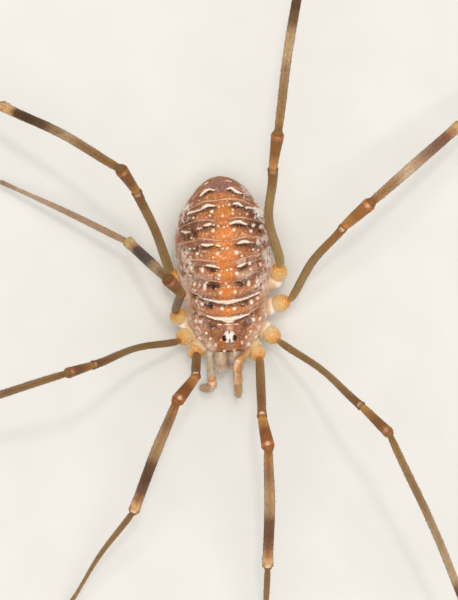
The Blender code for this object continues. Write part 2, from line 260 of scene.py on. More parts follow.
@dataclass
class Tube:
    """A round limb piece along a path, with its own frame at each ring. Angle 0 is the upper side."""

    path: Array
    radii: Array
    up: Array
    sides: int = 20
    flat: float = 1.0  # width across as a share of height

    def __post_init__(self) -> None:
        """Work out the frames along the path."""
        self.way = unit(np.gradient(self.path, axis=0))
        steps = np.linalg.norm(np.diff(self.path, axis=0), axis=1)
        self.run = np.concatenate([[0.0], np.cumsum(steps)])
        dorsal = np.zeros_like(self.path)
        carried = self.up
        for k, way in enumerate(self.way):
            carried = carried - way * (carried @ way)
            carried = carried / np.linalg.norm(carried)
            dorsal[k] = carried
        self.dorsal = dorsal
        self.across = np.cross(self.way, dorsal)

    def surface(self, ring: Array, angle: Array) -> tuple[Array, Array, Array]:
        """Places on the surface.

        Args:
            ring: Where along the path, as a fractional ring number.
            angle: Angle about the path, in radians.

        Returns:
            The places, the outward directions and the directions along the limb.
        """
        low = np.clip(ring.astype(int), 0, len(self.path) - 2)
        t = (ring - low)[:, None]

        def read(rows: Array) -> Array:
            """The rows at the fractional rings."""
            return rows[low] * (1 - t) + rows[low + 1] * t

        out = read(self.dorsal) * np.cos(angle)[:, None] + read(self.across) * np.sin(angle)[:, None]
        return read(self.path) + out * read(self.radii[:, None]), unit(out), unit(read(self.way))

    def shape(self, stain: Array, tint: Array | None = None) -> Shape:
        """Skin the tube.

        Args:
            stain: A colour for each ring, or for each ring and side.
            tint: A mask for each ring and side, kept beside the colour.

        Returns:
            The shape, with its colour and its place on the straightened limb.
        """
        angle = np.arange(self.sides) * math.tau / self.sides
        cosine, sine = np.cos(angle), np.sin(angle)
        out = self.dorsal[:, None] * cosine[:, None] + self.across[:, None] * (sine * self.flat)[:, None]
        points = self.path[:, None] + out * self.radii[:, None, None]
        rings = len(self.path)
        if stain.ndim == 2:
            stain = np.repeat(stain[:, None], self.sides, axis=1)
        mask = np.zeros((rings, self.sides)) if tint is None else tint
        colour = np.concatenate([stain, mask[..., None]], axis=-1)
        lie = np.stack(
            [self.radii[:, None] * cosine, self.radii[:, None] * sine, np.repeat(self.run[:, None], self.sides, 1)],
            axis=-1,
        )
        layers = {"stain": with_ends(colour), "lie": with_ends(lie)}
        return Shape(with_ends(points), ring_faces(rings, self.sides), layers)


def capped(length: float, step: float, cap: float) -> tuple[Array, Array]:
    """Places along a closed round-ended piece, closer together at its ends.

    Args:
        length: The whole length.
        step: The most between two places.
        cap: The length of each rounded end.

    Returns:
        The places, and the share of the radius at each.
    """
    turn = np.linspace(0.12, 1.0, 6) * math.pi / 2
    start = cap * (1 - np.cos(turn))
    middle = np.linspace(cap, length - cap, max(2, math.ceil((length - 2 * cap) / step)) + 1)[1:-1]
    places = np.concatenate([start, middle, length - start[::-1]])
    share = np.concatenate([np.sin(turn), np.ones(len(middle)), np.sin(turn)[::-1]])
    return places, share


def hairs(roots: Array, ways: Array, lengths: Array, thick: Array, at: Array) -> Shape:
    """Short stiff hairs as closed spikes of three sides.

    Args:
        roots: Where each hair starts.
        ways: Which way each points.
        lengths: How long each is, in millimetres.
        thick: The radius of each at its root.
        at: The root's place on the unwrapped skin, from 0 to 1 each way.

    Returns:
        The hairs as one shape, with their places on the bake's map in a layer.
    """
    ways = unit(ways)
    ways[:, 2] = np.maximum(ways[:, 2], (HAIR_FLOOR - roots[:, 2]) / lengths)
    helper = np.where(np.abs(ways[:, 2:]) < 0.8, UP, np.array((1.0, 0.0, 0.0)))
    first = unit(np.cross(ways, helper))
    second = np.cross(ways, first)
    corners, spots = [], []
    for turn in np.arange(3) * math.tau / 3:
        corners.append(roots + (first * math.cos(turn) + second * math.sin(turn)) * thick[:, None])
        spots.append(at + np.array((math.cos(turn), math.sin(turn))) * PATCH / 2)
    corners.append(roots + ways * lengths[:, None])
    spots.append(at)
    points = np.stack(corners, axis=1).reshape(-1, 3)
    base = np.arange(len(roots)) * 4
    faces = []
    for a, b, c in ((0, 1, 3), (1, 2, 3), (2, 0, 3), (0, 2, 1)):
        faces.extend(zip((base + a).tolist(), (base + b).tolist(), (base + c).tolist()))
    return Shape(points, faces, {"spot": np.stack(spots, axis=1).reshape(-1, 2)})


def body_middle() -> Array:
    """The body's middle in the part's frame, in millimetres, from the box of the abdomen's solid."""
    low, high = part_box("opisthosoma")
    return np.array(((low.x + high.x) / 2 / MM, high.y / MM - HALF_LENGTH, 0.0))


BODY_AT = body_middle()


def add_piece(name: str, shape: Shape, look: bpy.types.Material, stands_for: Sequence[str] = ()) -> None:
    """Make a shape into an object that rides on the part's one body.

    Args:
        name: The piece's name.
        shape: Its mesh, in millimetres in the body's frame.
        look: Its material.
        stands_for: The solids that it replaces.
    """
    mesh = bpy.data.meshes.new(name)
    mesh.from_pydata(((shape.points + BODY_AT) * MM).tolist(), [], shape.faces)
    for layer, values in shape.layers.items():
        if layer == "spot":
            corners = np.zeros(len(mesh.loops), np.int32)
            mesh.loops.foreach_get("vertex_index", corners)
            mesh.uv_layers.new(name="OFBake").data.foreach_set("uv", values[corners].astype(np.float32).ravel())
            continue
        kind, key = ("FLOAT_COLOR", "color") if values.shape[1] == 4 else ("FLOAT_VECTOR", "vector")
        mesh.attributes.new(layer, kind, "POINT").data.foreach_set(key, values.astype(np.float32).ravel())
    mesh.validate()
    mesh.shade_smooth()
    mesh.materials.append(look)
    piece = bpy.data.objects.new(name, mesh)
    bpy.context.scene.collection.objects.link(piece)
    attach(piece, "root")
    if stands_for:
        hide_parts(*stands_for)
    LOG.info("%s: %d faces", name, len(mesh.polygons))


def add_node(tree: bpy.types.NodeTree, kind: str, inputs: dict | None = None, **settings: object) -> bpy.types.Node:
    """Add one node with its settings and links.

    Args:
        tree: The material's nodes.
        kind: The node's type.
        inputs: What goes into each socket, by its name or number: another node's output, or a value.
        settings: The node's own properties.

    Returns:
        The node.
    """
    made = tree.nodes.new(kind)
    for name, value in settings.items():
        setattr(made, name, value)
    for key, value in (inputs or {}).items():
        if isinstance(value, bpy.types.NodeSocket):
            tree.links.new(value, made.inputs[key])
        else:
            made.inputs[key].default_value = value
    return made


@dataclass(frozen=True)
class Finish:
    """What every finish has: its shader's plain numbers, and the small help that its nodes share."""

    name: str
    roughness: float = 0.5
    ior: float = 1.56  # hardened chitin
    coat: float = 0.0
    gloss: float = 0.28  # the waxy bloom of the cuticle keeps its mirror part under that of bare chitin, 0.5
    flesh: float = 0.0  # how much light passes through the surface layer
    depth: float = 0.05  # how far it passes, in millimetres

    def begin(self) -> tuple[bpy.types.Material, bpy.types.NodeTree, bpy.types.Node]:
        """Make the material and set its shader's fixed sockets.

        Returns:
            The material, its nodes and its shader.
        """
        look = bpy.data.materials.new(self.name)
        look.use_nodes = True
        tree = look.node_tree
        shader = tree.nodes["Principled BSDF"]
        shader.inputs["Roughness"].default_value = self.roughness
        shader.inputs["IOR"].default_value = self.ior
        shader.inputs["Coat Weight"].default_value = self.coat
        shader.inputs["Specular IOR Level"].default_value = self.gloss
        shader.inputs["Subsurface Weight"].default_value = self.flesh
        shader.inputs["Subsurface Radius"].default_value = (1.0, 0.5, 0.3)
        shader.inputs["Subsurface Scale"].default_value = self.depth * MM
        return look, tree, shader

    @staticmethod
    def place(tree: bpy.types.NodeTree) -> bpy.types.NodeSocket:
        """The surface's place in millimetres."""
        where = add_node(tree, "ShaderNodeTexCoord").outputs["Object"]
        scaled = add_node(tree, "ShaderNodeVectorMath", {0: where, "Scale": 1 / MM}, operation="SCALE")
        return scaled.outputs[0]

    @staticmethod
    def speckle(tree: bpy.types.NodeTree, at: bpy.types.NodeSocket, size: float, low: float, high: float,
                to_low: float = 0.0, to_high: float = 1.0, detail: float = 2.0) -> bpy.types.NodeSocket:
        """Noise with grains of a real size, spread over a range.

        Args:
            tree: The material's nodes.
            at: The place in millimetres.
            size: The size of a grain, in millimetres.
            low: The noise value that becomes to_low.
            high: The noise value that becomes to_high.
            to_low: The least result.
            to_high: The greatest result.
            detail: How many finer layers the noise has.

        Returns:
            The socket with the result.
        """
        noise = add_node(tree, "ShaderNodeTexNoise", {"Vector": at, "Scale": 1 / size, "Detail": detail})
        spread = add_node(
            tree, "ShaderNodeMapRange",
            {0: noise.outputs[0], 1: low, 2: high, 3: to_low, 4: to_high},
            interpolation_type="SMOOTHSTEP",
        )
        return spread.outputs[0]

    @staticmethod
    def over(tree: bpy.types.NodeTree, under: bpy.types.NodeSocket | tuple, colour: bpy.types.NodeSocket | tuple,
             share: bpy.types.NodeSocket | float, blend: str = "MIX") -> bpy.types.NodeSocket:
        """Lay a colour over another.

        Args:
            tree: The material's nodes.
            under: The colour below.
            colour: The colour on top.
            share: How much of it shows.
            blend: How the two mix.

        Returns:
            The socket with the result.
        """
        mix = add_node(
            tree, "ShaderNodeMix", {0: share, 6: under, 7: colour}, data_type="RGBA", blend_type=blend
        )
        return mix.outputs[2]

    @staticmethod
    def product(tree: bpy.types.NodeTree, first: bpy.types.NodeSocket | float,
                second: bpy.types.NodeSocket | float, kind: str = "MULTIPLY") -> bpy.types.NodeSocket:
        """Two values taken together by one sum, held between 0 and 1.

        Args:
            tree: The material's nodes.
            first: One value.
            second: The other.
            kind: The sum, a product unless it is said.

        Returns:
            The socket with the result.
        """
        return add_node(tree, "ShaderNodeMath", {0: first, 1: second}, operation=kind, use_clamp=True).outputs[0]

    @staticmethod
    def relief(tree: bpy.types.NodeTree, shader: bpy.types.Node, height: bpy.types.NodeSocket, depth: float) -> None:
        """Give the shader a bump of a real depth in millimetres.

        Args:
            tree: The material's nodes.
            shader: The surface's shader.
            height: The height from 0 to 1.
            depth: What a height of 1 is, in millimetres.
        """
        bump = add_node(tree, "ShaderNodeBump", {"Height": height, "Distance": depth * MM, "Strength": 1.0})
        tree.links.new(bump.outputs[0], shader.inputs["Normal"])


@dataclass(frozen=True)
class BackCuticle(Finish):
    """Thin tanned chitin of the back, waxed and dusted: a mottled brown saddle under cream warts and streaks."""

    brown: str = "#9d5c33"
    umber: str = "#421c0b"
    orange: str = "#e2863a"
    cream: str = "#fdead4"
    violet: str = "#86656a"
    rose: str = "#e6bfa2"
    chalk: str = "#f6ebe2"
    carapace: str = "#be754a"
    belly: str = "#cdb89a"
    granule: float = 0.055  # a granule of the skin, drawn coarser than the real 0.01 mm so that it shows

    def dress(self) -> bpy.types.Material:
        """Build the nodes.

        Returns:
            The material.
        """
        look, tree, shader = self.begin()
        at = self.place(tree)
        marks = add_node(tree, "ShaderNodeAttribute", attribute_name="marks")
        ground = add_node(tree, "ShaderNodeAttribute", attribute_name="ground")
        marked = add_node(tree, "ShaderNodeSeparateColor", {0: marks.outputs["Color"]}).outputs
        grounded = add_node(tree, "ShaderNodeSeparateColor", {0: ground.outputs["Color"]}).outputs
        fine = self.speckle(tree, at, self.granule, 0.3, 0.7)
        mottle = self.speckle(tree, at, 0.16, 0.36, 0.64, detail=3.0)
        cloud = self.speckle(tree, at, 0.5, 0.35, 0.65)
        colour = self.over(tree, rgba(self.brown), rgba(self.carapace), grounded[2])
        patchy = self.product(tree, mottle, 0.42)
        colour = self.over(tree, colour, rgba("#ca9566"), patchy)
        colour = self.over(tree, colour, rgba("#6f4431"), self.product(tree, cloud, 0.22))
        colour = self.over(tree, colour, rgba(self.orange), marked[2])
        colour = self.over(tree, colour, rgba(self.violet), marks.outputs["Alpha"])
        colour = self.over(tree, colour, rgba(self.umber), marked[1])
        flank = self.speckle(tree, at, 0.05, 0.3, 0.6, 0.7, 1.0, detail=3.0)
        colour = self.over(tree, colour, rgba(self.belly), ground.outputs["Alpha"])
        colour = self.over(tree, colour, rgba(self.chalk), self.product(tree, grounded[0], flank))
        colour = self.over(tree, colour, rgba(self.rose), grounded[1])
        colour = self.over(tree, colour, rgba(self.cream), marked[0])
        shade = self.speckle(tree, at, self.granule, 0.3, 0.7, 0.74, 1.24)
        shade = add_node(tree, "ShaderNodeMix", {"Factor": self.product(tree, ground.outputs["Alpha"], 0.65), "A": shade, "B": 1.0}).outputs[0]
        colour = self.over(tree, colour, add_node(tree, "ShaderNodeCombineColor", {0: shade, 1: shade, 2: shade}).outputs[0],
                           1.0, "MULTIPLY")
        tree.links.new(colour, shader.inputs["Base Color"])
        rough = add_node(tree, "ShaderNodeMapRange", {0: mottle, 3: 0.42, 4: 0.62})
        tree.links.new(rough.outputs[0], shader.inputs["Roughness"])
        self.relief(tree, shader, fine, 0.004)
        return look


@dataclass(frozen=True)
class LimbCuticle(Finish):
    """Hard tanned chitin of a limb, grown in fine rows of granules: banded brown with a low waxy shine."""

    row_width: float = 0.055  # between two rows of granules
    grit: float = 0.05
    contrast: float = 0.3
    depth_of_grain: float = 0.008
    membrane: str = "#f6d8ba"

    def dress(self) -> bpy.types.Material:
        """Build the nodes.

        Returns:
            The material.
        """
        look, tree, shader = self.begin()
        stain = add_node(tree, "ShaderNodeAttribute", attribute_name="stain")
        lie = add_node(tree, "ShaderNodeAttribute", attribute_name="lie").outputs["Vector"]
        long = add_node(tree, "ShaderNodeVectorMath", {0: lie, 1: (1.0, 1.0, 0.45)}, operation="MULTIPLY").outputs[0]
        granules = add_node(tree, "ShaderNodeTexVoronoi", {"Vector": long, "Scale": 1 / self.row_width})
        dots = add_node(
            tree, "ShaderNodeMapRange", {0: granules.outputs["Distance"], 1: 0.2, 2: 0.6, 3: 1.0, 4: 0.0}
        ).outputs[0]
        low, high = 1 - self.contrast / 2, 1 + self.contrast / 2
        shade = self.speckle(tree, lie, self.grit, 0.3, 0.7, low, high)
        grey = add_node(tree, "ShaderNodeCombineColor", {0: shade, 1: shade, 2: shade}).outputs[0]
        colour = self.over(tree, stain.outputs["Color"], grey, 1.0, "MULTIPLY")
        slow = self.speckle(tree, lie, 0.3, 0.35, 0.65)
        colour = self.over(tree, colour, rgba("#3d2415"), self.product(tree, slow, self.contrast * 0.35))
        colour = self.over(tree, colour, rgba("#2f1c10"), self.product(tree, dots, self.contrast * 0.5))
        colour = self.over(tree, colour, rgba(self.membrane), stain.outputs["Alpha"])
        tree.links.new(colour, shader.inputs["Base Color"])
        self.relief(tree, shader, dots, self.depth_of_grain)
        return look


@dataclass(frozen=True)
class LensCuticle(Finish):
    """Clear hard chitin of the eye over a black retina, polished smooth: black with a sharp small highlight."""

    black: str = "#0b0706"
    amber: str = "#3a1c0c"

    def dress(self) -> bpy.types.Material:
        """Build the nodes.

        Returns:
            The material.
        """
        look, tree, shader = self.begin()
        stain = add_node(tree, "ShaderNodeAttribute", attribute_name="stain")
        glow = self.speckle(tree, self.place(tree), 0.03, 0.4, 0.7, 0.0, 0.5)
        colour = self.over(tree, rgba(self.black), rgba(self.amber), glow)
        colour = self.over(tree, colour, stain.outputs["Color"], stain.outputs["Alpha"])
        tree.links.new(colour, shader.inputs["Base Color"])
        return look


@dataclass(frozen=True)
class HairCuticle(Finish):
    """Solid chitin bristles, grown stiff and fine: dark brown, paler in broad patches."""

    root: str = "#3a2416"
    pale: str = "#8d6a45"

    def dress(self) -> bpy.types.Material:
        """Build the nodes.

        Returns:
            The material.
        """
        look, tree, shader = self.begin()
        share = self.speckle(tree, self.place(tree), 0.4, 0.35, 0.65)
        tree.links.new(self.over(tree, rgba(self.root), rgba(self.pale), share), shader.inputs["Base Color"])
        return look


@dataclass(frozen=True)
class StudioBoard(Finish):
    """Matt painted board, rolled: a plain pale ground with no shine."""

    paint: str = "#e4e1da"

    def dress(self) -> bpy.types.Material:
        """Build the nodes.

        Returns:
            The material.
        """
        look, tree, shader = self.begin()
        share = self.speckle(tree, self.place(tree), 3.0, 0.3, 0.7, 0.0, 0.5)
        tree.links.new(self.over(tree, rgba(self.paint), rgba("#dedbd3"), share), shader.inputs["Base Color"])
        return look


# Distance from the tail's tip, half width, height of the back, height of the belly
BODY_STATIONS = (
    (0.0, 0.02, 1.95, 1.85),
    (0.08, 0.38, 2.15, 1.66),
    (0.25, 0.68, 2.42, 1.48),
    (0.55, 1.03, 2.72, 1.26),
    (0.95, 1.36, 3.02, 1.06),
    (1.65, 1.76, 3.36, 0.88),
    (2.4, 1.94, 3.58, 0.81),
    (3.0, 1.98, 3.64, 0.8),
    (3.6, 1.92, 3.56, 0.83),
    (4.3, 1.74, 3.36, 0.95),
    (4.9, 1.67, 3.14, 1.02),
    (5.6, 1.6, 2.92, 1.06),
    (5.95, 1.48, 2.8, 1.12),
    (6.3, 1.28, 2.66, 1.22),
    (6.65, 1.0, 2.44, 1.38),
    (6.93, 0.75, 2.18, 1.56),
    (7.0, 0.68, 2.04, 1.68),
)
WIDEST_LEVEL = 0.36
BACK_ROUND = 2.2
BELLY_ROUND = 2.6


@dataclass(frozen=True)
class Streak:
    """A mark drawn through points of the back, seen from above, in millimetres from the body's middle."""

    half: float
    points: tuple[tuple[float, float], ...]
    taper: float = 2.4  # how suddenly its ends come to a point

    def mask(self, x: Array, y: Array, soft: float = 0.45) -> Array:
        """How much of the mark is at each place.

        Args:
            x: Places across the body.
            y: Places along it.
            soft: The width of the soft edge, as a share of the half width.

        Returns:
            Values from 0 to 1.
        """
        nearest, share = np.full(len(x), 1e9), np.zeros(len(x))
        runs = [math.dist(a, b) for a, b in itertools.pairwise(self.points)]
        before = 0.0
        for (ax, ay), (bx, by), run in zip(self.points, self.points[1:], runs):
            t = np.clip(((x - ax) * (bx - ax) + (y - ay) * (by - ay)) / run**2, 0, 1)
            far = np.hypot(x - ax - t * (bx - ax), y - ay - t * (by - ay))
            closer = far < nearest
            nearest = np.where(closer, far, nearest)
            share = np.where(closer, (before + t * run) / sum(runs), share)
            before += run
        half = self.half * (1 - 0.8 * np.abs(2 * share - 1) ** self.taper)
        return ease(half * (1 + soft), half * (1 - soft), nearest)


@dataclass(frozen=True)
class Dot:
    """A round wart on the back. Tall ones are stretched along the body."""

    x: float
    y: float
    radius: float = 0.036
    tall: float = 1.0

    def mask(self, x: Array, y: Array, soft: float = 0.35) -> Array:
        """How much of the wart is at each place."""
        far = np.hypot(x - self.x, (y - self.y) / self.tall)
        return ease(self.radius * (1 + soft), self.radius * (1 - soft), far)


@dataclass(frozen=True)
class Tergite:
    """One hardened band of the back: where its rear edge crosses the midline, how it bends, how dark it is."""

    rear: float
    bend: float
    dark: float
    violet: float

    def edge(self, x: Array) -> Array:
        """The rear edge's place along the body."""
        return self.rear + self.bend * x * x


TERGITES = (
    Tergite(3.45, -0.6, 0.1, 0.5),
    Tergite(2.93, -0.3, 0.45, 0.5),
    Tergite(2.3, -0.14, 0.8, 0.45),
    Tergite(1.56, -0.1, 0.85, 0.5),
    Tergite(0.74, -0.02, 0.75, 0.45),
    Tergite(-0.13, 0.1, 0.85, 0.35),
    Tergite(-0.76, 0.22, 1.0, 0.75),
    Tergite(-1.53, 0.25, 1.0, 0.9),
    Tergite(-2.24, 0.26, 0.85, 0.4),
    Tergite(-2.75, 0.2, 0.2, 0.0),
)

# The pale streaks of each band, from the tail forward
STREAKS = (
    Streak(0.025, ((-0.63, 3.15), (-0.43, 3.26))),
    Streak(0.020, ((0.21, 3.25), (0.48, 3.18))),
    Streak(0.035, ((-0.83, 2.7), (-0.68, 2.83), (-0.54, 2.91), (-0.41, 2.95), (-0.2, 2.91))),
    Streak(0.039, ((0.25, 2.94), (0.44, 2.95), (0.63, 2.83), (0.84, 2.72))),
    Streak(0.030, ((-1.39, 1.99), (-1.24, 2.08), (-1.04, 2.11), (-0.76, 2.19))),
    Streak(0.042, ((-0.8, 2.17), (-0.64, 2.26), (-0.51, 2.31), (-0.22, 2.28))),
    Streak(0.045, ((0.47, 2.34), (0.67, 2.32), (0.86, 2.21))),
    Streak(0.029, ((0.92, 2.17), (1.07, 2.14), (1.2, 2.12), (1.42, 2.08))),
    Streak(0.044, ((-0.7, 1.52), (-0.56, 1.55), (-0.4, 1.56))),
    Streak(0.050, ((0.29, 1.53), (0.5, 1.59), (0.72, 1.58), (0.96, 1.47))),
    Streak(0.037, ((-1.62, 1.37), (-1.46, 1.31), (-1.26, 1.33))),
    Streak(0.029, ((-1.02, 1.42), (-0.76, 1.45))),
    Streak(0.050, ((-0.87, 0.79), (-0.66, 0.74), (-0.38, 0.76))),
    Streak(0.032, ((-0.33, 0.72), (-0.1, 0.69))),
    Streak(0.057, ((0.54, 0.75), (0.66, 0.78), (0.77, 0.81), (1.06, 0.78))),
    Streak(0.042, ((-0.73, -0.02), (-0.45, -0.08), (-0.17, -0.17))),
    Streak(0.046, ((0.49, -0.15), (0.72, -0.08), (0.88, -0.03))),
    Streak(0.017, ((-1.32, -1.04), (-1.0, -1.26), (-0.88, -1.36), (-0.6, -1.42))),
    Streak(0.066, ((-0.98, -1.3), (-0.53, -1.44), (0.05, -1.54), (0.6, -1.45), (1.04, -1.31)), 1.6),
    Streak(0.020, ((0.86, -1.36), (1.05, -1.31), (1.36, -1.18))),
    Streak(0.082, ((-0.79, -2.0), (-0.42, -2.13), (0.05, -2.19), (0.48, -2.13), (0.87, -2.01)), 1.5),
    Streak(0.1, ((-0.34, -2.16), (0.05, -2.23), (0.42, -2.16)), 1.2),
    Streak(0.022, ((-0.44, -2.38), (-0.22, -2.385))),
    Streak(0.024, ((-0.16, -2.385), (0.18, -2.4))),
    Streak(0.020, ((0.22, -2.4), (0.42, -2.39))),
    Streak(0.042, ((-1.2, -2.8), (-1.08, -2.94))),
    Streak(0.042, ((1.14, -2.86), (1.03, -3.0))),
)

# The finer pinkish folds between the bands
FOLDS = (
    Streak(0.019, ((-1.0, 2.36), (-0.66, 2.46), (-0.03, 2.48), (0.3, 2.52), (0.6, 2.51), (0.87, 2.43), (1.1, 2.3))),
    Streak(0.019, ((-0.9, 1.7), (-0.7, 1.73), (-0.22, 1.7))),
    Streak(0.021, ((0.28, 1.73), (0.57, 1.76), (0.98, 1.75))),
    Streak(0.021, ((-0.98, 1.03), (-0.74, 0.99), (-0.08, 0.89))),
    Streak(0.021, ((0.24, 0.86), (0.65, 0.95), (1.04, 1.03))),
    Streak(0.023, ((-1.56, 0.24), (-0.95, 0.2), (-0.56, 0.13), (-0.1, 0.04))),
    Streak(0.023, ((0.25, 0.02), (0.61, 0.11), (0.94, 0.21), (1.25, 0.28))),
    Streak(0.024, ((-1.5, -0.3), (-1.12, -0.42), (-0.8, -0.55), (-0.48, -0.66), (-0.14, -0.73))),
    Streak(0.024, ((0.27, -0.78), (0.56, -0.69), (0.86, -0.58), (1.2, -0.42), (1.5, -0.3))),
    Streak(0.022, ((-1.5, -0.9), (-1.2, -1.12), (-0.95, -1.24))),
    Streak(0.022, ((1.02, -1.26), (1.3, -1.1), (1.58, -0.9))),
    Streak(0.02, ((-1.2, -1.72), (-0.9, -1.92), (-0.7, -2.0))),
    Streak(0.02, ((0.78, -1.98), (1.0, -1.9), (1.3, -1.7))),
)

BIG, TINY = 0.056, 0.026
WARTS = tuple(
    Dot(*spot)
    for spot in (
        (1.0, 2.14), (-0.09, 2.23), (0.08, 2.25), (0.33, 2.29), (1.34, 2.11, TINY), (-0.52, 2.62, TINY),
        (-0.22, 2.56, TINY), (0.5, 2.66, TINY), (-0.82, 2.52, TINY), (-0.39, 2.05, BIG), (-0.46, 1.89),
        (-1.07, 1.84), (0.44, 2.07), (0.43, 1.93), (0.05, 1.86), (0.99, 1.89), (1.3, 1.73), (-0.32, 1.53),
        (-0.16, 1.48), (0.06, 1.43), (0.21, 1.46), (1.23, 1.42, BIG), (1.53, 1.36, 0.07), (-0.35, 1.29, BIG),
        (0.44, 1.28, BIG), (1.09, 1.19, BIG), (0.04, 1.05), (-0.37, 1.06, TINY), (0.54, 1.04, TINY),
        (-1.21, 1.07), (0.31, 0.72, TINY), (-0.03, 0.59), (0.14, 0.59), (-1.31, 0.65), (-1.14, 0.66),
        (1.15, 0.49), (1.33, 0.45), (-0.24, 0.39, BIG), (0.49, 0.4, 0.062), (-1.03, 0.44, BIG), (-0.86, 0.35),
        (-1.29, 0.33), (0.68, 0.26), (-0.43, 0.25), (-0.11, 0.27, TINY), (1.0, -0.05, BIG), (-1.28, -0.09, 0.045, 1.7),
        (-0.86, -0.21, 0.054, 1.7), (1.01, -0.27), (-0.29, -0.25, TINY), (0.09, -0.26, 0.04), (0.25, -0.24, 0.04),
        (1.39, -0.1, 0.04, 1.6), (-0.22, -0.44, BIG), (0.46, -0.41, 0.062), (-0.27, -0.59), (0.28, -0.44, TINY),
        (-1.19, -0.75, 0.045, 1.6), (-1.01, -0.76), (-0.81, -0.86, 0.055, 2.1), (-0.73, -0.7), (0.91, -0.84, 0.05, 2.1),
        (1.24, -0.75, 0.05, 1.5), (1.17, -0.95), (-1.17, -0.98), (0.03, -0.78), (0.11, -0.91, 0.042),
        (-0.15, -0.94, TINY), (0.33, -0.95, TINY), (-0.38, -0.96, TINY), (-0.2, -1.13, BIG), (0.35, -1.12, BIG),
        (-0.43, -1.19, TINY), (-1.18, -1.4, 0.045), (-0.96, -1.52, 0.06), (0.97, -1.56, 0.06, 1.3),
        (1.21, -1.41, 0.05), (-0.2, -1.77, 0.06), (0.3, -1.78, 0.06), (0.04, -1.82, TINY), (-1.47, -2.05),
        (-1.21, -2.16, 0.045, 1.6), (-1.04, -2.22, 0.062), (1.01, -2.25, 0.058, 1.3), (1.25, -2.24, 0.042, 1.6),
        (1.5, -2.09), (-0.88, -2.69, 0.046), (-0.73, -2.92, 0.045), (-0.53, -3.17, 0.04, 1.5), (-0.8, -3.19, 0.065, 1.2),
        (0.87, -2.71, 0.05), (0.69, -2.94, 0.04, 1.3), (0.51, -3.14, 0.04, 1.4), (0.78, -3.21, 0.06, 1.2),
        (-0.32, -2.98), (-0.19, -3.44, 0.05), (0.19, -3.44, 0.05), (-0.62, 1.2, TINY), (0.78, 1.55, TINY),
        (-0.72, 0.5, TINY), (0.86, 1.08, TINY), (-0.6, 1.82, TINY), (0.72, 1.88, TINY), (-0.5, -0.4, TINY),
        (0.7, -0.45, TINY), (0.62, -1.63, TINY), (-0.5, -1.66, TINY), (-0.62, -1.1, TINY), (0.62, -1.08, TINY),
    )
)

CARAPACE_EDGE = (
    (-1.56, -2.13), (-1.3, -2.66), (-1.02, -3.03), (-0.84, -3.33), (-0.62, -3.42), (0.41, -3.44),
    (0.64, -3.42), (1.02, -3.06), (1.33, -2.77), (1.6, -2.29),
)
GROOVES = (
    Streak(0.026, ((-0.75, -2.37), (-0.67, -2.69), (-0.64, -2.9)), 2.0),
    Streak(0.026, ((0.77, -2.26), (0.68, -2.65), (0.63, -2.92)), 2.0),
)
# The darkest marks, in front of some streaks, and the violet pits of the muscles
SHADES = (
    Streak(0.14, ((-0.95, -0.72), (-0.72, -0.8), (-0.45, -0.86), (-0.18, -0.87)), 3.0),
    Streak(0.14, ((0.32, -0.88), (0.56, -0.85), (0.82, -0.75), (1.0, -0.66)), 3.0),
    Streak(0.14, ((-0.92, -1.5), (-0.42, -1.66)), 3.0),
    Streak(0.14, ((0.5, -1.66), (0.95, -1.5)), 3.0),
    Streak(0.15, ((-0.98, -2.24), (-0.6, -2.42), (-0.42, -2.46)), 3.0),
    Streak(0.15, ((0.55, -2.44), (0.72, -2.4), (1.05, -2.2)), 3.0),
    Streak(0.11, ((-0.74, -0.13), (-0.28, -0.27)), 2.5),
    Streak(0.11, ((0.52, -0.27), (0.95, -0.13)), 2.5),
    Streak(0.07, ((-0.2, -1.66), (0.3, -1.66)), 3.0),
)
PITS = (
    Streak(0.045, ((-1.1, -0.46), (-0.88, -0.52))),
    Streak(0.045, ((1.02, -0.53), (1.22, -0.43))),
    Streak(0.04, ((-0.9, -1.16), (-0.68, -1.28))),
    Streak(0.045, ((0.78, -1.27), (0.97, -1.17))),
    Streak(0.035, ((-1.12, -1.78), (-0.9, -1.9))),
    Streak(0.035, ((0.98, -1.86), (1.2, -1.74))),
)
TAN_PATCHES = (
    Streak(0.17, ((-1.15, -0.4), (-0.85, -0.52), (-0.5, -0.58)), 3.0),
    Streak(0.17, ((0.45, -0.58), (0.8, -0.5), (1.2, -0.38)), 3.0),
    Streak(0.1, ((0.45, 0.0), (0.85, 0.12)), 3.0),
)
SIDE_PATCHES = (
    Streak(0.24, ((-1.6, 1.52), (-1.25, 1.66), (-0.95, 1.62)), 4.0),
    Streak(0.2, ((-1.5, 1.05), (-1.2, 1.2), (-0.95, 1.2)), 4.0),
    Streak(0.16, ((-1.35, 1.95), (-0.95, 2.0)), 4.0),
    Streak(0.2, ((1.12, 2.1), (1.35, 1.75), (1.45, 1.4)), 4.0),
    Streak(0.16, ((1.1, 1.6), (1.35, 1.25), (1.5, 1.05)), 4.0),
    Streak(0.16, ((1.5, 1.95), (1.68, 1.55)), 4.0),
    Streak(0.12, ((-1.3, 0.55), (-0.9, 0.6)), 4.0),
    Streak(0.12, ((1.0, 0.62), (1.4, 0.5)), 4.0),
)
MARGINS = (
    Streak(0.115, ((-1.66, -2.1), (-1.46, -2.6), (-1.17, -3.02), (-0.95, -3.34)), 3.0),
    Streak(0.115, ((1.72, -2.2), (1.48, -2.72), (1.16, -3.1), (0.92, -3.38)), 3.0),
    Streak(0.07, ((-1.3, -2.45), (-1.14, -2.66)), 2.0),
    Streak(0.055, ((-1.02, -3.0), (-0.86, -3.2)), 2.0),
    Streak(0.07, ((1.3, -2.5), (1.18, -2.72)), 2.0),
    Streak(0.07, ((1.06, -3.02), (0.92, -3.2)), 2.0),
)
CARAPACE_SIDE = ((1.58, -2.2), (1.32, -2.72), (1.02, -3.05), (0.74, -3.4), (0.66, -3.5))
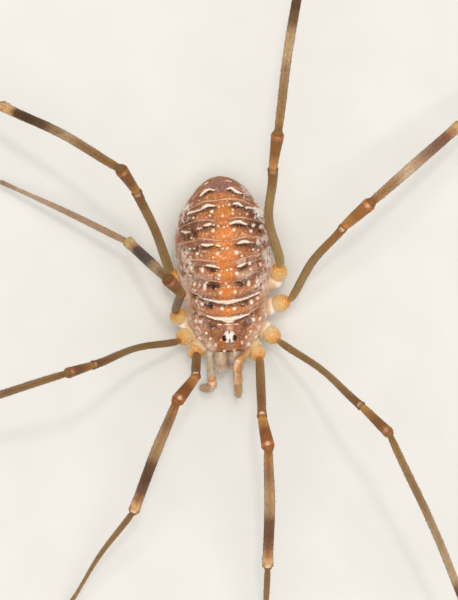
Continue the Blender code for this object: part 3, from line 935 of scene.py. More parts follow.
AMBER = (
    Dot(-0.28, -3.15, 0.1, 2.0),
    Dot(0.285, -3.15, 0.095, 2.1),
    Dot(0.04, -1.8, 0.11, 0.8),
    Dot(0.04, -2.4, 0.36, 0.14),
)


def most(marks: Sequence[Streak | Dot], x: Array, y: Array, soft: float = 0.35) -> Array:
    """The strongest of several marks at each place."""
    return np.max([mark.mask(x, y, soft) for mark in marks], axis=0)


@dataclass
class Trunk:
    """The body's one skin from tail to head: folded bands, warts, wrinkled flanks and pale underside."""

    rings: int = 400
    back_sides: int = 262
    belly_sides: int = 96
    sink: float = 0.035  # how far the plain skin lies inside the solids
    end_gap: float = 0.012  # how far it stops short of their ends
    wart_height: float = 0.018
    fold_depth: float = 0.034
    bulge: float = 0.022

    def grid(self) -> tuple[Array, Array]:
        """The plain skin.

        Returns:
            Its points as rings from the tail forward, and each point's share of the way out to the flank.
        """
        u = np.linspace(0, 1, self.rings)
        from_tail = BODY_LENGTH * (0.8 * u + 0.1 * (1 - np.cos(math.pi * u)))
        half, back, belly = stations_at(BODY_STATIONS, from_tail).T
        level = belly + WIDEST_LEVEL * (back - belly)
        half = half - self.sink * ease(0.0, 0.7, from_tail)
        back, belly = back - self.sink, belly + self.sink
        angle = np.concatenate([
            np.linspace(0, math.pi, self.back_sides, endpoint=False),
            np.linspace(math.pi, math.tau, self.belly_sides, endpoint=False),
        ])
        cosine, sine = np.cos(angle), np.sin(angle)
        power = np.where(sine >= 0, 2 / BACK_ROUND, 2 / BELLY_ROUND)
        across = np.sign(cosine) * np.abs(cosine) ** power
        up = np.abs(sine) ** power
        x = half[:, None] * across
        rise = np.where(sine >= 0, (back - level)[:, None], (belly - level)[:, None])
        z = level[:, None] + up * rise
        y = np.broadcast_to(((HALF_LENGTH - from_tail) * (1 - self.end_gap / HALF_LENGTH))[:, None], x.shape)
        points = np.stack([x, y, z], axis=-1)
        caps = [points[-1].mean(axis=0) + (points[-1] - points[-1].mean(axis=0)) * k for k in (0.8, 0.5, 0.2)]
        out = np.broadcast_to(np.abs(across), x.shape)
        return np.concatenate([points, np.stack(caps)]), np.concatenate([out, out[-3:] * 0.5])

    def bands(self, x: Array, y: Array) -> tuple[Array, Array, Array]:
        """How the bands colour the back.

        Args:
            x: Places across.
            y: Places along.

        Returns:
            How far each place is from its band's rear edge to the next, its band's darkness and its violet bloom.
        """
        phase, dark, violet = np.zeros(len(x)), np.zeros(len(x)), np.zeros(len(x))
        for band, ahead in itertools.pairwise(TERGITES):
            rear, front = band.edge(x), ahead.edge(x)
            inside = (y < rear) & (y >= front)
            phase = np.where(inside, (rear - y) / (rear - front), phase)
            dark = np.where(inside, band.dark, dark)
            violet = np.where(inside, ahead.violet, violet)
        return phase, dark, violet

    def markings(self, points: Array, out: Array) -> tuple[dict[str, Array], Array]:
        """Paint and raise the skin.

        Args:
            points: The plain skin's points.
            out: Each point's share of the way out to the flank.

        Returns:
            The masks by name, and the height to raise each point by.
        """
        shake = np.stack([grain(points, size, seed) for size, seed in ((0.3, 1), (0.3, 2), (0.08, 3), (0.08, 4))])
        x = points[:, 0] + 0.02 * shake[0] + 0.011 * shake[2]
        y = points[:, 1] + 0.016 * shake[1] + 0.011 * shake[3]
        rough = grain(points, 0.12, 5)
        wide = grain(points, 0.45, 6)
        fleck = grain(points, 0.075, 7)
        level = np.interp(
            -points[:, 1] + HALF_LENGTH, [row[0] for row in BODY_STATIONS],
            [row[3] + WIDEST_LEVEL * (row[2] - row[3]) for row in BODY_STATIONS],
        )
        back = ease(-0.52, -0.02, points[:, 2] - level + 0.16 * wide + 0.08 * rough)
        aside = np.abs(x - 0.04 - 0.08 * ease(0.6, 1.4, y) * ease(2.6, 2.0, y))
        phase, band_dark, band_violet = self.bands(x, y)
        behind_head = ease(-2.5, -2.2, y)
        edge_x = np.interp(-y, [-place[1] for place in CARAPACE_SIDE], [place[0] for place in CARAPACE_SIDE])
        spread = np.abs(x) / edge_x
        from_eyes = np.hypot(x - 0.035, y + 2.86)
        turned = np.arctan2(x - 0.035, y + 2.86)
        rays = grain(np.stack([1.2 * turned, 0.45 * from_eyes, 0 * x], axis=1), 0.2, 14)
        streaks = most(STREAKS, x, y, 0.55)
        warts = most([replace(wart, radius=1.14 * wart.radius) for wart in WARTS if wart.radius > TINY], x, y, 0.45)
        beads = most([wart for wart in WARTS if wart.radius <= TINY], x, y, 0.6)
        dust = ease(0.45, 0.8, grain(points, 0.052, 12)) * ease(0.9, 0.65, out)
        pebbles = ease(0.5, 0.8, grain(points, 0.095, 15)) * window(0.35, 0.95, 0.1, out) * window(-2.3, 0.0, 0.3, y)
        crumbs = ease(0.45, 0.75, fleck) * ease(-0.1, 0.5, wide) * window(0.62, 0.98, 0.1, out) * 0.8
        cream = np.maximum.reduce([streaks * (0.94 + 0.06 * fleck), warts * (0.84 + 0.14 * rough), 0.62 * beads, 0.4 * dust, 0.5 * pebbles, crumbs]) * back
        near = most(STREAKS[2:21], x, y + 0.075, 0.7)
        far = most(STREAKS[2:21], x, y + 0.15, 1.0)
        shadow = np.maximum(near, 0.7 * far) * ease(1.45, 0.8, aside)
        first = ease(0.42, 0.03, phase) * band_dark * (0.95 + 0.5 * rough) * ease(0.97, 0.75, out)
        edge = Streak(0.026, CARAPACE_EDGE, 8.0).mask(x, y)
        side_brown = most(SIDE_PATCHES, x, y, 0.9) * (0.74 + 0.3 * rough + 0.2 * fleck)
        middle = ease(0.95, 0.55, aside) * ease(-2.3, -2.6, y)
        seam_brown = np.exp(-(((phase - 0.8) / 0.1) ** 2)) * behind_head * 0.28
        dark = np.maximum.reduce([
            first * (0.25 + 0.75 * ease(0.12, 0.5, aside)),
            shadow,
            most(SHADES, x + 0.04 * wide, y + 0.03 * rough, 0.75) * (0.85 + 0.35 * rough),
            edge * 0.85,
            most(GROOVES, x, y, 0.6) * 0.55,
            side_brown,
            seam_brown,
            middle * (0.26 + 0.24 * rough),
            0.5 * ease(0.05, 0.6, rays) * ease(-2.35, -2.6, y) * ease(0.15, 0.4, aside) * ease(1.0, 0.75, spread),
            ease(0.35, 0.8, -fleck) * 0.4 * ease(0.2, 0.6, aside),
        ])
        dark *= back * (1 - 0.95 * np.maximum(streaks, warts))
        creases = self.creases_below(points) * (1 - back)
        # Painted shade in the belly's creases, over its own brown blotches.
        dark = np.maximum(dark, 0.3 * creases + 0.16 * ease(0.2, 0.7, rough + 0.5 * wide) * (1 - back))
        saddle = stations_at(
            ((-2.0, 0.3), (-1.4, 0.45), (-0.9, 0.5), (0.3, 0.66), (1.2, 0.62), (1.9, 0.6), (2.35, 0.42), (2.8, 0.2)), y
        )[:, 0]
        orange = ease(1.1, 0.25, aside / saddle) * window(-2.0, 2.5, 0.3, y) * (0.86 + 0.3 * wide)
        orange *= 1 - 0.22 * ease(0.8, 1.5, y)
        red = 0.5 * Dot(0.08, 0.1, 0.3, 1.5).mask(x, y, 0.95)
        tawny = window(0.12, 0.68, 0.14, phase) * ease(0.66, 0.36, out) * behind_head * (0.22 + 0.3 * wide)
        amber = most(AMBER, x, y, 0.5)
        orange = np.clip(np.maximum.reduce([orange, tawny, amber, 1.4 * red]) * back, 0, 1)
        bloom = 0.66 * ease(0.62, 0.85, phase) * band_violet * window(0.12, 0.8, 0.12, out) * (0.8 + 0.4 * rough)
        tail = ease(0.62, 0.3, np.hypot((x + 0.02) / 1.05, (y - 3.05) / 0.62)) * 0.55
        brow = 0.4 * Dot(0.04, -2.56, 0.42, 0.4).mask(x, y, 0.8)
        violet = np.maximum.reduce([bloom, tail, most(PITS, x, y, 0.5), brow])
        violet *= back * (1 - cream)
        folds = most(FOLDS, x, y, 0.6) * (0.8 + 0.2 * rough)
        thin = np.exp(-(((phase - 0.66 + 0.03 * wide) / 0.035) ** 2)) * behind_head * ease(0.3, 0.7, out)
        skirt = window(-3.2, -0.5, 0.4, y) * ease(0.74, 0.93, out + 0.06 * rough) * (0.7 + 0.3 * fleck)
        halo = np.clip(most(PITS, x, y, 1.6) - most(PITS, x, y, 0.7), 0, 1) * 0.6
        blush = np.maximum(
            0.7 * Dot(0.06, -2.56, 0.12, 0.8).mask(x, y, 0.8), 0.3 * Dot(0.04, -3.24, 0.15, 1.0).mask(x, y, 0.8)
        )
        bleached = ease(-0.2, 0.8, rough + 0.4 * fleck) * window(0.56, 0.95, 0.14, out) * window(-2.4, 0.6, 0.4, y) * 0.5
        margin = ease(-0.04, 0.14, np.abs(x) - edge_x) * ease(-2.0, -2.3, y)
        pale_side = ease(0.5, 1.0, spread + 0.16 * wide + 0.12 * rays) * ease(-1.9, -2.4, y) * (0.76 + 0.4 * rough + 0.2 * fleck)
        tan = most(TAN_PATCHES, x, y, 0.9) * (0.42 + 0.25 * rough)
        rose = np.maximum.reduce([tan, folds * 0.9, halo, blush, 0.5 * thin, skirt * 0.8, bleached, pale_side, margin * 0.8])
        rose = np.clip(rose, 0, 1) * back * (1 - cream) * (1 - 0.6 * edge * ease(-0.5, 0.4, rough))
        low = stations_at(((-3.5, 0.97), (-2.6, 0.95), (-2.0, 0.9), (-1.4, 0.84), (-0.2, 0.78), (0.7, 0.79), (1.2, 0.93),
                           (1.75, 0.86), (2.1, 0.72), (2.6, 0.84), (3.5, 0.97)), y)[:, 0]
        wrinkled = points * (1.0, 0.55, 1.0)
        ridge = ease(0.5, 0.06, np.abs(grain(wrinkled, 0.085, 10))) * 0.6 + ease(0.45, 0.05, np.abs(grain(wrinkled, 0.2, 11))) * 0.5
        clumps = 0.6 + 0.8 * grain(points, 0.33, 13)
        flank = ease(-0.1, 0.14, out - low + 0.14 * wide + 0.08 * rough) * ease(0.12, 0.85, (0.2 + 1.15 * ridge) * clumps + 0.25 * ease(0.93, 1.0, out) + 0.25 * ease(0.84, 0.97, out) * window(-0.7, 1.0, 0.3, y))
        rim = most(MARGINS, x + 0.07 * wide, y + 0.05 * shake[1], 0.9) * ease(-0.5, 0.3, rough + 0.6 * fleck)
        flank = np.clip(np.maximum.reduce([flank, 0.9 * margin * (0.6 + 0.4 * fleck), rim]), 0, 1) * back * (1 - 0.6 * edge * ease(-0.5, 0.4, rough))
        under = 1 - back
        front = np.maximum(ease(-2.3, -2.55, y - 0.2 * x * x), 0.6 * ease(0.9, -1.2, y)) * back
        marks = np.stack([cream, np.clip(dark, 0, 1), orange, np.clip(violet, 0, 1)], axis=1)
        ground = np.stack([flank, rose, front, under], axis=1)
        sides = np.maximum(ease(-0.1, 0.1, out - low) * back, under)
        gutter = np.exp(-(((phase - 0.05) / 0.06) ** 2)) * ease(1.0, 0.7, out) * np.maximum(behind_head, 0.2)
        height = (
            self.wart_height * np.maximum(warts, streaks * 0.7) * back
            - self.fold_depth * gutter * back
            + self.bulge * np.sin(math.pi * np.clip(phase, 0, 1)) * back * behind_head
            - 0.015 * most(FOLDS, x, y + 0.03, 0.8) * back
            + 0.018 * (ridge - 0.5) * sides
            + 0.02 * edge
            - 0.03 * most(GROOVES, x, y, 0.8) * back
            + 0.004 * fleck
            - 0.05 * creases
        )
        return {"marks": marks, "ground": ground}, height

    @staticmethod
    def creases_below(points: Array) -> Array:
        """The folds of the belly: its plates' edges behind, and the long plate between the hips."""
        x, y = points[:, 0], points[:, 1]
        plates = np.max([np.exp(-(((y - edge + 0.12 * x * x) / 0.035) ** 2)) for edge in (0.5, 1.1, 1.7, 2.3, 2.75)], axis=0)
        plate = np.hypot(x / 0.5, (y + 0.9) / 1.15)
        return np.maximum(plates * ease(1.7, 1.2, np.abs(x)), np.exp(-(((plate - 1) / 0.06) ** 2)))

    def build(self) -> None:
        """Make the skin."""
        grid, out = self.grid()
        rings, sides = out.shape
        layers, height = self.markings(grid.reshape(-1, 3), out.ravel())
        around = np.roll(grid, -1, axis=1) - np.roll(grid, 1, axis=1)
        normal = unit(np.cross(around, np.gradient(grid, axis=0)))
        grid = grid + normal * height.reshape(rings, sides)[..., None]
        held = {name: with_ends(mask.reshape(rings, sides, -1)) for name, mask in layers.items()}
        shape = Shape(with_ends(grid), ring_faces(rings, sides), held)
        look = BackCuticle("waxed_chitin_of_the_back", flesh=0.06, depth=0.15, gloss=0.22).dress()
        add_piece("trunk_skin", shape, look, ("prosoma", "opisthosoma"))


@dataclass(frozen=True)
class Brush:
    """How bristles stand on a limb: their rows, the space between two in a row, their size and lean."""

    rows: int = 9
    space: float = 0.13
    length: float = 0.1
    thick: float = 0.009
    lean: float = 0.75  # from 0, straight out, to 1, along the limb

    def on(self, tube: Tube, seed: int, start: float = 0.03, end: float = 0.98, strip: tuple[float, float] = (0.0, 1.0)
           ) -> Shape:
        """Set bristles on a tube.

        Args:
            tube: The limb piece.
            seed: Picks the random places.
            start: Where the rows start, as a share of its length.
            end: Where they end.
            strip: Which part of the bake's map this piece's bristles use, from bottom to top.

        Returns:
            The bristles.
        """
        rng = np.random.default_rng(seed)
        length = tube.run[-1]
        count = max(2, int(length * (end - start) / self.space))
        along = np.linspace(start, end, count)[None, :] + rng.uniform(-0.4, 0.4, (self.rows, count)) * self.space / length
        along = np.clip(along, 0.005, 0.995).ravel()
        angle = (np.repeat(np.arange(self.rows), count) + rng.uniform(-0.35, 0.35, along.shape)) * math.tau / self.rows
        ring = np.interp(along * length, tube.run, np.arange(len(tube.run)))
        places, out, way = tube.surface(ring, angle)
        lean = np.clip(self.lean + rng.uniform(-0.12, 0.12, along.shape), 0, 0.95)[:, None]
        sizes = self.length * rng.uniform(0.7, 1.25, along.shape)
        low, high = strip
        at = np.stack([along, low + (high - low) * np.mod(angle / math.tau, 1)], axis=1)
        return hairs(places - out * 0.006, out * (1 - lean) + way * lean, sizes, self.thick * (sizes / self.length), at)


@dataclass(frozen=True)
class Profile:
    """The girth and the colours along one piece of a limb, each read by its share of the length."""

    girth: tuple[tuple[float, float], ...]
    stops: tuple[tuple[float, str], ...]

    def radii(self, share: Array) -> Array:
        """The radius at each share of the length."""
        return stations_at(self.girth, share)[:, 0]

    def banded(self, early: float, painted_band_shade: float) -> "Profile":
        """The same piece with its dark band moved, painted shade on the band and painted light on its far end.

        Args:
            early: How much nearer the start the band lies, as a share of the length.
            painted_band_shade: How light the band is beside this piece's own, as painted shade; the far end past it is
                painted lighter by as much.

        Returns:
            The piece's girth and new colours.
        """
        stops = []
        for place, colour in self.stops:
            # Painted shade on the band, and painted light on the far end past it.
            shade = 1.0 if place < 0.54 else painted_band_shade if place < 0.9 else 2 - painted_band_shade
            parts = [min(255, round(int(colour[k:k + 2], 16) * shade)) for k in (1, 3, 5)]
            stops.append((place - early * min(1.0, 4 * place * (1 - place)), "#{:02x}{:02x}{:02x}".format(*parts)))
        return Profile(self.girth, tuple(stops))


@dataclass(frozen=True)
class JointEnd:
    """What shows above at a piece's far end: a patch of pale joint skin between two knobs."""

    skin: float  # how strongly the patch shows
    along: float  # half its length, in millimetres
    around: float  # half its width, in radians
    knob: float  # how far the knobs stand out, as a share of the radius
    knob_angle: float
    stain: str
    rail: float  # how strongly two painted highlights, reflections of the lamps, show along the piece, and how much darker the top line between them is painted


@dataclass
class LimbPiece:
    """One hard piece between two joints, rounded at both ends."""

    start: Array
    end: Array
    profile: Profile
    finish: JointEnd
    bow: float = 0.0
    step: float = 0.06
    sides: int = 28
    overrun: float = 0.03
    CAP = 0.08
    # The colour of the painted highlight lines.
    RAIL = "#e0c2a6"

    def tube(self) -> Tube:
        """The piece as a tube along its bowed line."""
        run = self.end - self.start
        length = float(np.linalg.norm(run)) + 2 * self.overrun
        places, cap = capped(length, self.step, self.CAP)
        share = (places - self.overrun) / (length - 2 * self.overrun)
        aside = unit(np.array((-run[1], run[0], 0.0)))
        sway = self.bow * np.sin(math.pi * np.clip(share, 0, 1)) ** 2
        path = self.start + run * share[:, None] + aside * sway[:, None]
        way = unit(run)
        up = UP - way * way[2] if abs(way[2]) < 0.999 else np.array((0.0, 1.0, 0.0))
        return Tube(path, self.profile.radii(share) * cap, unit(up), self.sides)

    def shape(self) -> tuple[Shape, Tube]:
        """Skin the piece.

        Returns:
            The skin, and the tube it was made on.
        """
        tube, finish = self.tube(), self.finish
        share = tube.run / tube.run[-1]
        from_end = (tube.run[-1] - tube.run)[:, None]
        angle = np.arange(self.sides) * math.tau / self.sides
        from_top = np.minimum(angle, math.tau - angle)
        patch = np.hypot((from_end - finish.along) / finish.along, from_top / finish.around)
        tint = finish.skin * ease(1.35, 0.55, patch)
        knob = np.exp(-(((from_end - 0.09) / 0.09) ** 2)) * np.exp(-(((from_top - finish.knob_angle) / 0.42) ** 2))
        ground = stained(self.profile.stops, share)[:, None]
        colour = ground * (1 - knob[..., None]) + linear(finish.stain) * knob[..., None]
        # Painted highlight: two pale lines along the piece stand for the lamps' reflections, weaker on the dark bands.
        line = np.exp(-(((from_top - 0.85) / 0.32) ** 2)) * window(0.05, 0.93, 0.05, share)[:, None]
        rail = (finish.rail * line)[..., None] * ease(0.16, 0.42, ground[..., :1])
        # The top line between the two painted highlights is made darker, by half their strength.
        furrow = 0.5 * finish.rail * np.exp(-((from_top / 0.34) ** 2))[None, :, None]
        colour = (colour * (1 - rail) + linear(self.RAIL) * rail) * (1 - furrow)
        made = tube.shape(colour, tint)
        out = tube.dorsal[:, None] * np.cos(angle)[:, None] + tube.across[:, None] * np.sin(angle)[:, None]
        made.points[:-2] += (out * (finish.knob * knob * tube.radii[:, None])[..., None]).reshape(-1, 3)
        return made, tube


@dataclass(frozen=True)
class Ball:
    """A rounded lump with its own axes."""

    centre: tuple[float, float, float] | Array
    half: tuple[float, float, float]  # its half sizes, the last along the pole
    pole: tuple[float, float, float] | Array = (0.0, 0.0, 1.0)
    rings: int = 24
    sides: int = 36

    def axes(self) -> Array:
        """The lump's own axes as rows, the pole last and the first as level as can be."""
        pole = unit(np.array(self.pole, float))
        helper = UP if abs(pole[2]) < 0.9 else np.array((0.0, 1.0, 0.0))
        first = unit(np.cross(helper, pole)) if abs(pole[2]) < 0.9 else unit(np.cross(np.cross(pole, (1.0, 0, 0)), pole))
        return np.stack([first, np.cross(pole, first), pole])

    def ways(self) -> Array:
        """The unit directions of its points in its own axes, ring by ring from the foot of the pole up."""
        turn = np.linspace(0.02, math.pi - 0.02, self.rings)
        angle = np.arange(self.sides) * math.tau / self.sides
        flat = np.sin(turn)[:, None]
        return np.stack(
            [flat * np.cos(angle), flat * np.sin(angle), np.repeat(-np.cos(turn)[:, None], self.sides, 1)], axis=-1
        )

    def shape(self, swell: Array | float = 1.0, stain: Array | None = None) -> Shape:
        """Skin the lump.

        Args:
            swell: How much larger than its half sizes it is at each of its points.
            stain: A colour and a mask for each of its points.

        Returns:
            The shape, with its colour and its own place.
        """
        ways = self.ways()
        own = ways * np.array(self.half) * (np.asarray(swell)[..., None] if np.ndim(swell) else swell)
        points = np.array(self.centre) + own @ self.axes()
        colour = np.zeros((*ways.shape[:2], 4)) if stain is None else stain
        layers = {"stain": with_ends(colour), "lie": with_ends(own)}
        return Shape(with_ends(points), ring_faces(self.rings, self.sides), layers)


def plain(colour: Array | str, mask: float, grid: Array) -> Array:
    """One colour and mask for each point of a grid.

    Args:
        colour: A hex colour, or a linear one.
        mask: The value kept beside the colour.
        grid: Any array whose first two sides are the grid's.

    Returns:
        Four values for each point.
    """
    base = linear(colour) if isinstance(colour, str) else colour
    return np.concatenate([np.broadcast_to(base, (*grid.shape[:2], 3)), np.full((*grid.shape[:2], 1), mask)], axis=-1)


@dataclass
class EyeMound:
    """The hump that carries both eyes: two white lobes with a dark furrow between, and a ring of warts."""

    centre: tuple[float, float, float] = (0.035, -2.86, 2.72)
    half: tuple[float, float, float] = (0.225, 0.25, 0.345)
    eye_aside: float = 0.162
    eye_ahead: float = -0.055
    eye_up: float = 0.2
    eye_radius: float = 0.128

    def mound(self) -> Shape:
        """The hump."""
        ball = Ball(self.centre, self.half, rings=90, sides=120)
        ways = ball.ways()
        own = ways * np.array(self.half)
        x, y, z = own[..., 0], own[..., 1], own[..., 2]
        furrow = np.exp(-((x / 0.027) ** 2)) * ease(-0.05, 0.12, z)
        rear, front = ease(0.02, 0.2, y), ease(-0.03, -0.17, y)
        ends = furrow * (0.1 + 0.9 * np.maximum(rear, front))
        bumps = grain(own.reshape(-1, 3), 0.05, 21).reshape(x.shape)
        around_eye = np.zeros_like(x)
        for side in (1, -1):
            far = np.linalg.norm(own - (side * self.eye_aside, self.eye_ahead, self.eye_up), axis=-1)
            around_eye = np.maximum(around_eye, np.exp(-(((far - self.eye_radius - 0.025) / 0.03) ** 2)))
        plan = np.hypot(ways[..., 0], ways[..., 1])
        square = (np.abs(ways[..., 0] / plan) ** 3 + np.abs(ways[..., 1] / plan) ** 3) ** (-1 / 3)
        swell = 1 + 0.06 * bumps + 0.12 * around_eye - 0.17 * ends + 0.8 * (square - 1) * ease(0.3, 0.7, plan)
        white = np.clip(1.05 - 1.1 * ends + 0.2 * bumps, 0, 1) * ease(0.02, 0.16, z)
        colour = linear("#a4603c") * (1 - white[..., None]) + linear("#fbf2e6") * white[..., None]
        furrowed = (np.clip(ends, 0, 1) * 0.75)[..., None]
        colour = colour * (1 - furrowed) + linear("#99644a") * furrowed
        stain = np.concatenate([colour, np.zeros((*x.shape, 1))], axis=-1)
        shape = ball.shape(swell, stain)
        return shape.joined(*self.warts())

    def warts(self) -> list[Shape]:
        """The short white warts that stand round each eye."""
        made = []
        for side in (1, -1):
            eye = np.array(self.centre) + (side * self.eye_aside, self.eye_ahead, self.eye_up)
            for turn in np.linspace(-1.2, 1.5, 5):
                root = eye + np.array((-side * 0.1, 0.155 * math.sin(turn), 0.14 * math.cos(turn) * 0.9))
                wart = Ball(root, (0.022, 0.022, 0.042), root - np.array(self.centre), 8, 10)
                made.append(wart.shape(stain=plain("#fff6ea", 0.0, wart.ways())))
        return made

    def build(self) -> None:
        """Make the mound and both eyes."""
        look = LimbCuticle("pale_chitin_of_the_eye_mound", roughness=0.42, contrast=0.12, depth_of_grain=0.004, flesh=0.1)
        add_piece("ocularium_skin", self.mound(), look.dress(), ("ocularium",))
        lens = LensCuticle("polished_chitin_lens", roughness=0.08, gloss=0.35).dress()
        for side in Side:
            at = np.array(self.centre) + (side.value * self.eye_aside, self.eye_ahead, self.eye_up)
            eye = Ball(at, (self.eye_radius,) * 3, (side.value, -0.15, 0.45), 40, 48)
            brim = ease(0.3, 0.1, eye.ways()[..., 2])
            stain = plain("#d9b48c", 0.0, brim)
            stain[..., 3] = brim
            add_piece(f"eye_{side.word}_lens", eye.shape(stain=stain), lens, (f"eye_{side.word}",))


def smooth_line(rows: Sequence[Sequence[float]], step: float) -> tuple[Array, Array]:
    """A smooth line with closely set points through a few rows.

    Args:
        rows: Each row is a point and the values that go with it.
        step: The most between two points.

    Returns:
        The points, and the other values at each.
    """
    table = np.array(rows, float)
    run = np.concatenate([[0.0], np.cumsum(np.linalg.norm(np.diff(table[:, :3], axis=0), axis=1))])
    inner = (table[2:] - table[:-2]) / (run[2:] - run[:-2])[:, None]
    slopes = np.vstack([(table[1] - table[0]) / (run[1] - run[0]), inner, (table[-1] - table[-2]) / (run[-1] - run[-2])])
    places = np.linspace(0, run[-1], math.ceil(run[-1] / step) + 1)
    index = np.clip(np.searchsorted(run, places, side="right") - 1, 0, len(run) - 2)
    span = (run[index + 1] - run[index])[:, None]
    t = (places - run[index])[:, None] / span
    found = (
        table[index] * (1 + 2 * t) * (1 - t) ** 2
        + table[index + 1] * t * t * (3 - 2 * t)
        + slopes[index] * span * t * (1 - t) ** 2
        - slopes[index + 1] * span * t * t * (1 - t)
    )
    return found[:, :3], found[:, 3:]


def claw(root: Array, way: Array, bend: Array, length: float, thick: float, colours: tuple[str, str]) -> Shape:
    """A tapering hook.

    Args:
        root: Its base.
        way: The way it starts.
        bend: The way it bends.
        length: How long it is.
        thick: Its radius at the base.
        colours: Its colour at the base and at the tip.

    Returns:
        The hook.
    """
    t = np.linspace(0, 1, 14)
    turn = t * 1.3
    path = root + length * (np.sin(turn)[:, None] * unit(way) + (1 - np.cos(turn))[:, None] * unit(bend)) / 1.3
    radii = thick * (1 - 0.93 * t**1.3)
    tube = Tube(path, radii, -unit(bend), 12)
    return tube.shape(stained(((0.0, colours[0]), (1.0, colours[1])), t))


@dataclass
class Jaw:
    """One chelicera: a stalk under the head's brim, a swollen hand and two dark-tipped fingers that meet."""

    side: Side
    aside: float
    ROWS = (
        (0.0, -3.05, 1.72, 0.2),
        (0.0, -3.5, 1.8, 0.27),
        (0.0, -3.72, 1.8, 0.27),
        (0.0, -3.81, 1.77, 0.245),
        (0.0, -3.88, 1.7, 0.25),
        (0.0, -3.97, 1.56, 0.278),
        (0.0, -4.05, 1.36, 0.268),
        (0.0, -4.06, 1.16, 0.215),
        (0.0, -4.05, 1.02, 0.15),
    )

    def build(self) -> None:
        """Make the jaw."""
        rows = [(x + self.aside, *rest) for x, *rest in self.ROWS]
        path, radii = smooth_line(rows, 0.03)
        share = np.linspace(0, 1, len(path))
        cap = np.sin(np.clip(share / 0.04, 0.05, 1) * math.pi / 2) * np.sin(np.clip((1 - share) / 0.06, 0.05, 1) * math.pi / 2)
        tube = Tube(path, radii[:, 0] * cap, UP, 40)
        stops = ((0.0, "#a98a6c"), (0.3, "#b89d7e"), (0.48, "#cdb59a"), (0.53, "#bda287"), (0.6, "#d6bea5"),
                 (0.8, "#e8d1ba"), (0.93, "#e2c4a2"), (1.0, "#d8b88e"))
        shape = tube.shape(stained(stops, share))
        hand = np.array((self.aside, -4.0, 1.2))
        fingers = [
            claw(hand + (inward, 0.02, -0.02), np.array((lean, 0.35, -1.0)), np.array((-lean * 3, 0.8, 0.0)), 0.42, 0.085,
                 ("#dccbb0", "#3a2012"))
            for inward, lean in ((0.07, 0.12), (-0.08, -0.12))
        ]
        shape = shape.joined(*fingers)
        look = LimbCuticle(f"thin_pale_chitin_of_the_{self.side.word}_jaw", roughness=0.28, coat=0.35, contrast=0.12,
                           depth_of_grain=0.004, flesh=0.45, depth=0.15)
        name = f"chelicera_{self.side.word}"
        add_piece(f"{name}_skin", shape, look.dress(), (name,))
        brush = Brush(rows=14, space=0.11, length=0.11, thick=0.007, lean=0.5)
        add_piece(f"{name}_setae", brush.on(tube, 40 + self.side.value, 0.5, 0.95), BRISTLE.dress())


BRISTLE = HairCuticle("stiff_dark_chitin_bristle", roughness=0.45, coat=0.2)


@dataclass
class Feeler:
    """One pedipalp as a smooth run of short pieces with soft joints, set with bristles, and a small claw."""

    side: Side
    rows: tuple[tuple[float, float, float], ...]
    knots: tuple[float, ...]  # where trochanter, femur, patella and tibia end, as shares of the length
    GIRTH = ((0.13, 0.16, 0.13), (0.115, 0.135, 0.165), (0.15, 0.18, 0.17), (0.15, 0.18, 0.185), (0.15, 0.165, 0.13))
    COLOURS = (
        ("#dcb88a", "#d6a46a"),
        ("#dfb684", "#dc9c58"),
        ("#d8904d", "#cd8443"),
        ("#d8944f", "#d9a167"),
        ("#cf9656", "#c4a070"),
    )
    pale_femur: bool = False
    top_highlight: float = 0.62  # how strong the painted highlight along the top of the patella and tibia is

    def build(self) -> None:
        """Make the feeler and its bristles."""
        path, _ = smooth_line([(*row, 0.0) for row in self.rows], 0.025)
        share = np.linspace(0, 1, len(path))
        ends = (0.0, *self.knots, 1.0)
        girth, stops = [], []
        for (start, end), widths, colours in zip(itertools.pairwise(ends), self.GIRTH, self.COLOURS):
            span = end - start
            girth += [(start + 0.02 * span, widths[0]), (start + 0.5 * span, widths[1]), (end - 0.1 * span, widths[2])]
            girth += [(end, widths[2] * 0.86)] if end < 1 else [(1.0, widths[2] * 0.7)]
            stops += [(start + 0.04 * span, colours[0]), (end - 0.04 * span, colours[1])]
        if self.pale_femur:
            stops[:4] = [(0.0, "#d0c0a8"), (stops[1][0], "#d3c4ae"), (stops[2][0], "#d2c3ab"), (stops[3][0] - 0.07, "#d8c2a0"),
                         (stops[3][0], "#d2843e")]
        joints = [knot for knot in self.knots[1:3]]
        cap = np.sin(np.clip((1 - share) / 0.03, 0.08, 1) * math.pi / 2)
        up = UP if abs((path[1] - path[0])[2]) < 0.02 else np.array((0.0, 1.0, 0.3))
        tube = Tube(path, stations_at(girth, share)[:, 0] * cap, up, 28)
        angle = np.arange(28) * math.tau / 28
        upper = ease(0.1, 0.6, np.cos(angle))
        soft = np.max([np.exp(-(((share - knot) / 0.011) ** 2)) for knot in joints], axis=0)
        # Painted highlight along the top of the patella and tibia, laid on in the membrane colour.
        top_highlight = ease(0.8, 1.0, np.cos(angle)) * window(self.knots[1], self.knots[3], 0.04, share)[:, None] * self.top_highlight
        tint = np.clip(soft[:, None] * upper * 0.8 + top_highlight, 0, 1)
        shape = tube.shape(stained(stops, share), tint)
        tip, way = path[-1], tube.way[-1]
        shape = shape.joined(claw(tip - way * 0.04, way, np.array((0.0, 0.0, -1.0)), 0.11, 0.035, ("#5b3018", "#1d0d06")))
        name = f"pedipalp_{self.side.word}"
        look = LimbCuticle(f"thin_tan_chitin_of_the_{self.side.word}_feeler", roughness=0.26, coat=0.3, contrast=0.2,
                           flesh=0.28, depth=0.12)
        add_piece(f"{name}_skin", shape, look.dress(), (name,))
        brush = Brush(rows=13, space=0.085, length=0.12, thick=0.006, lean=0.6)
        add_piece(f"{name}_setae", brush.on(tube, 60 + self.side.value, 0.25, 0.97), BRISTLE.dress())


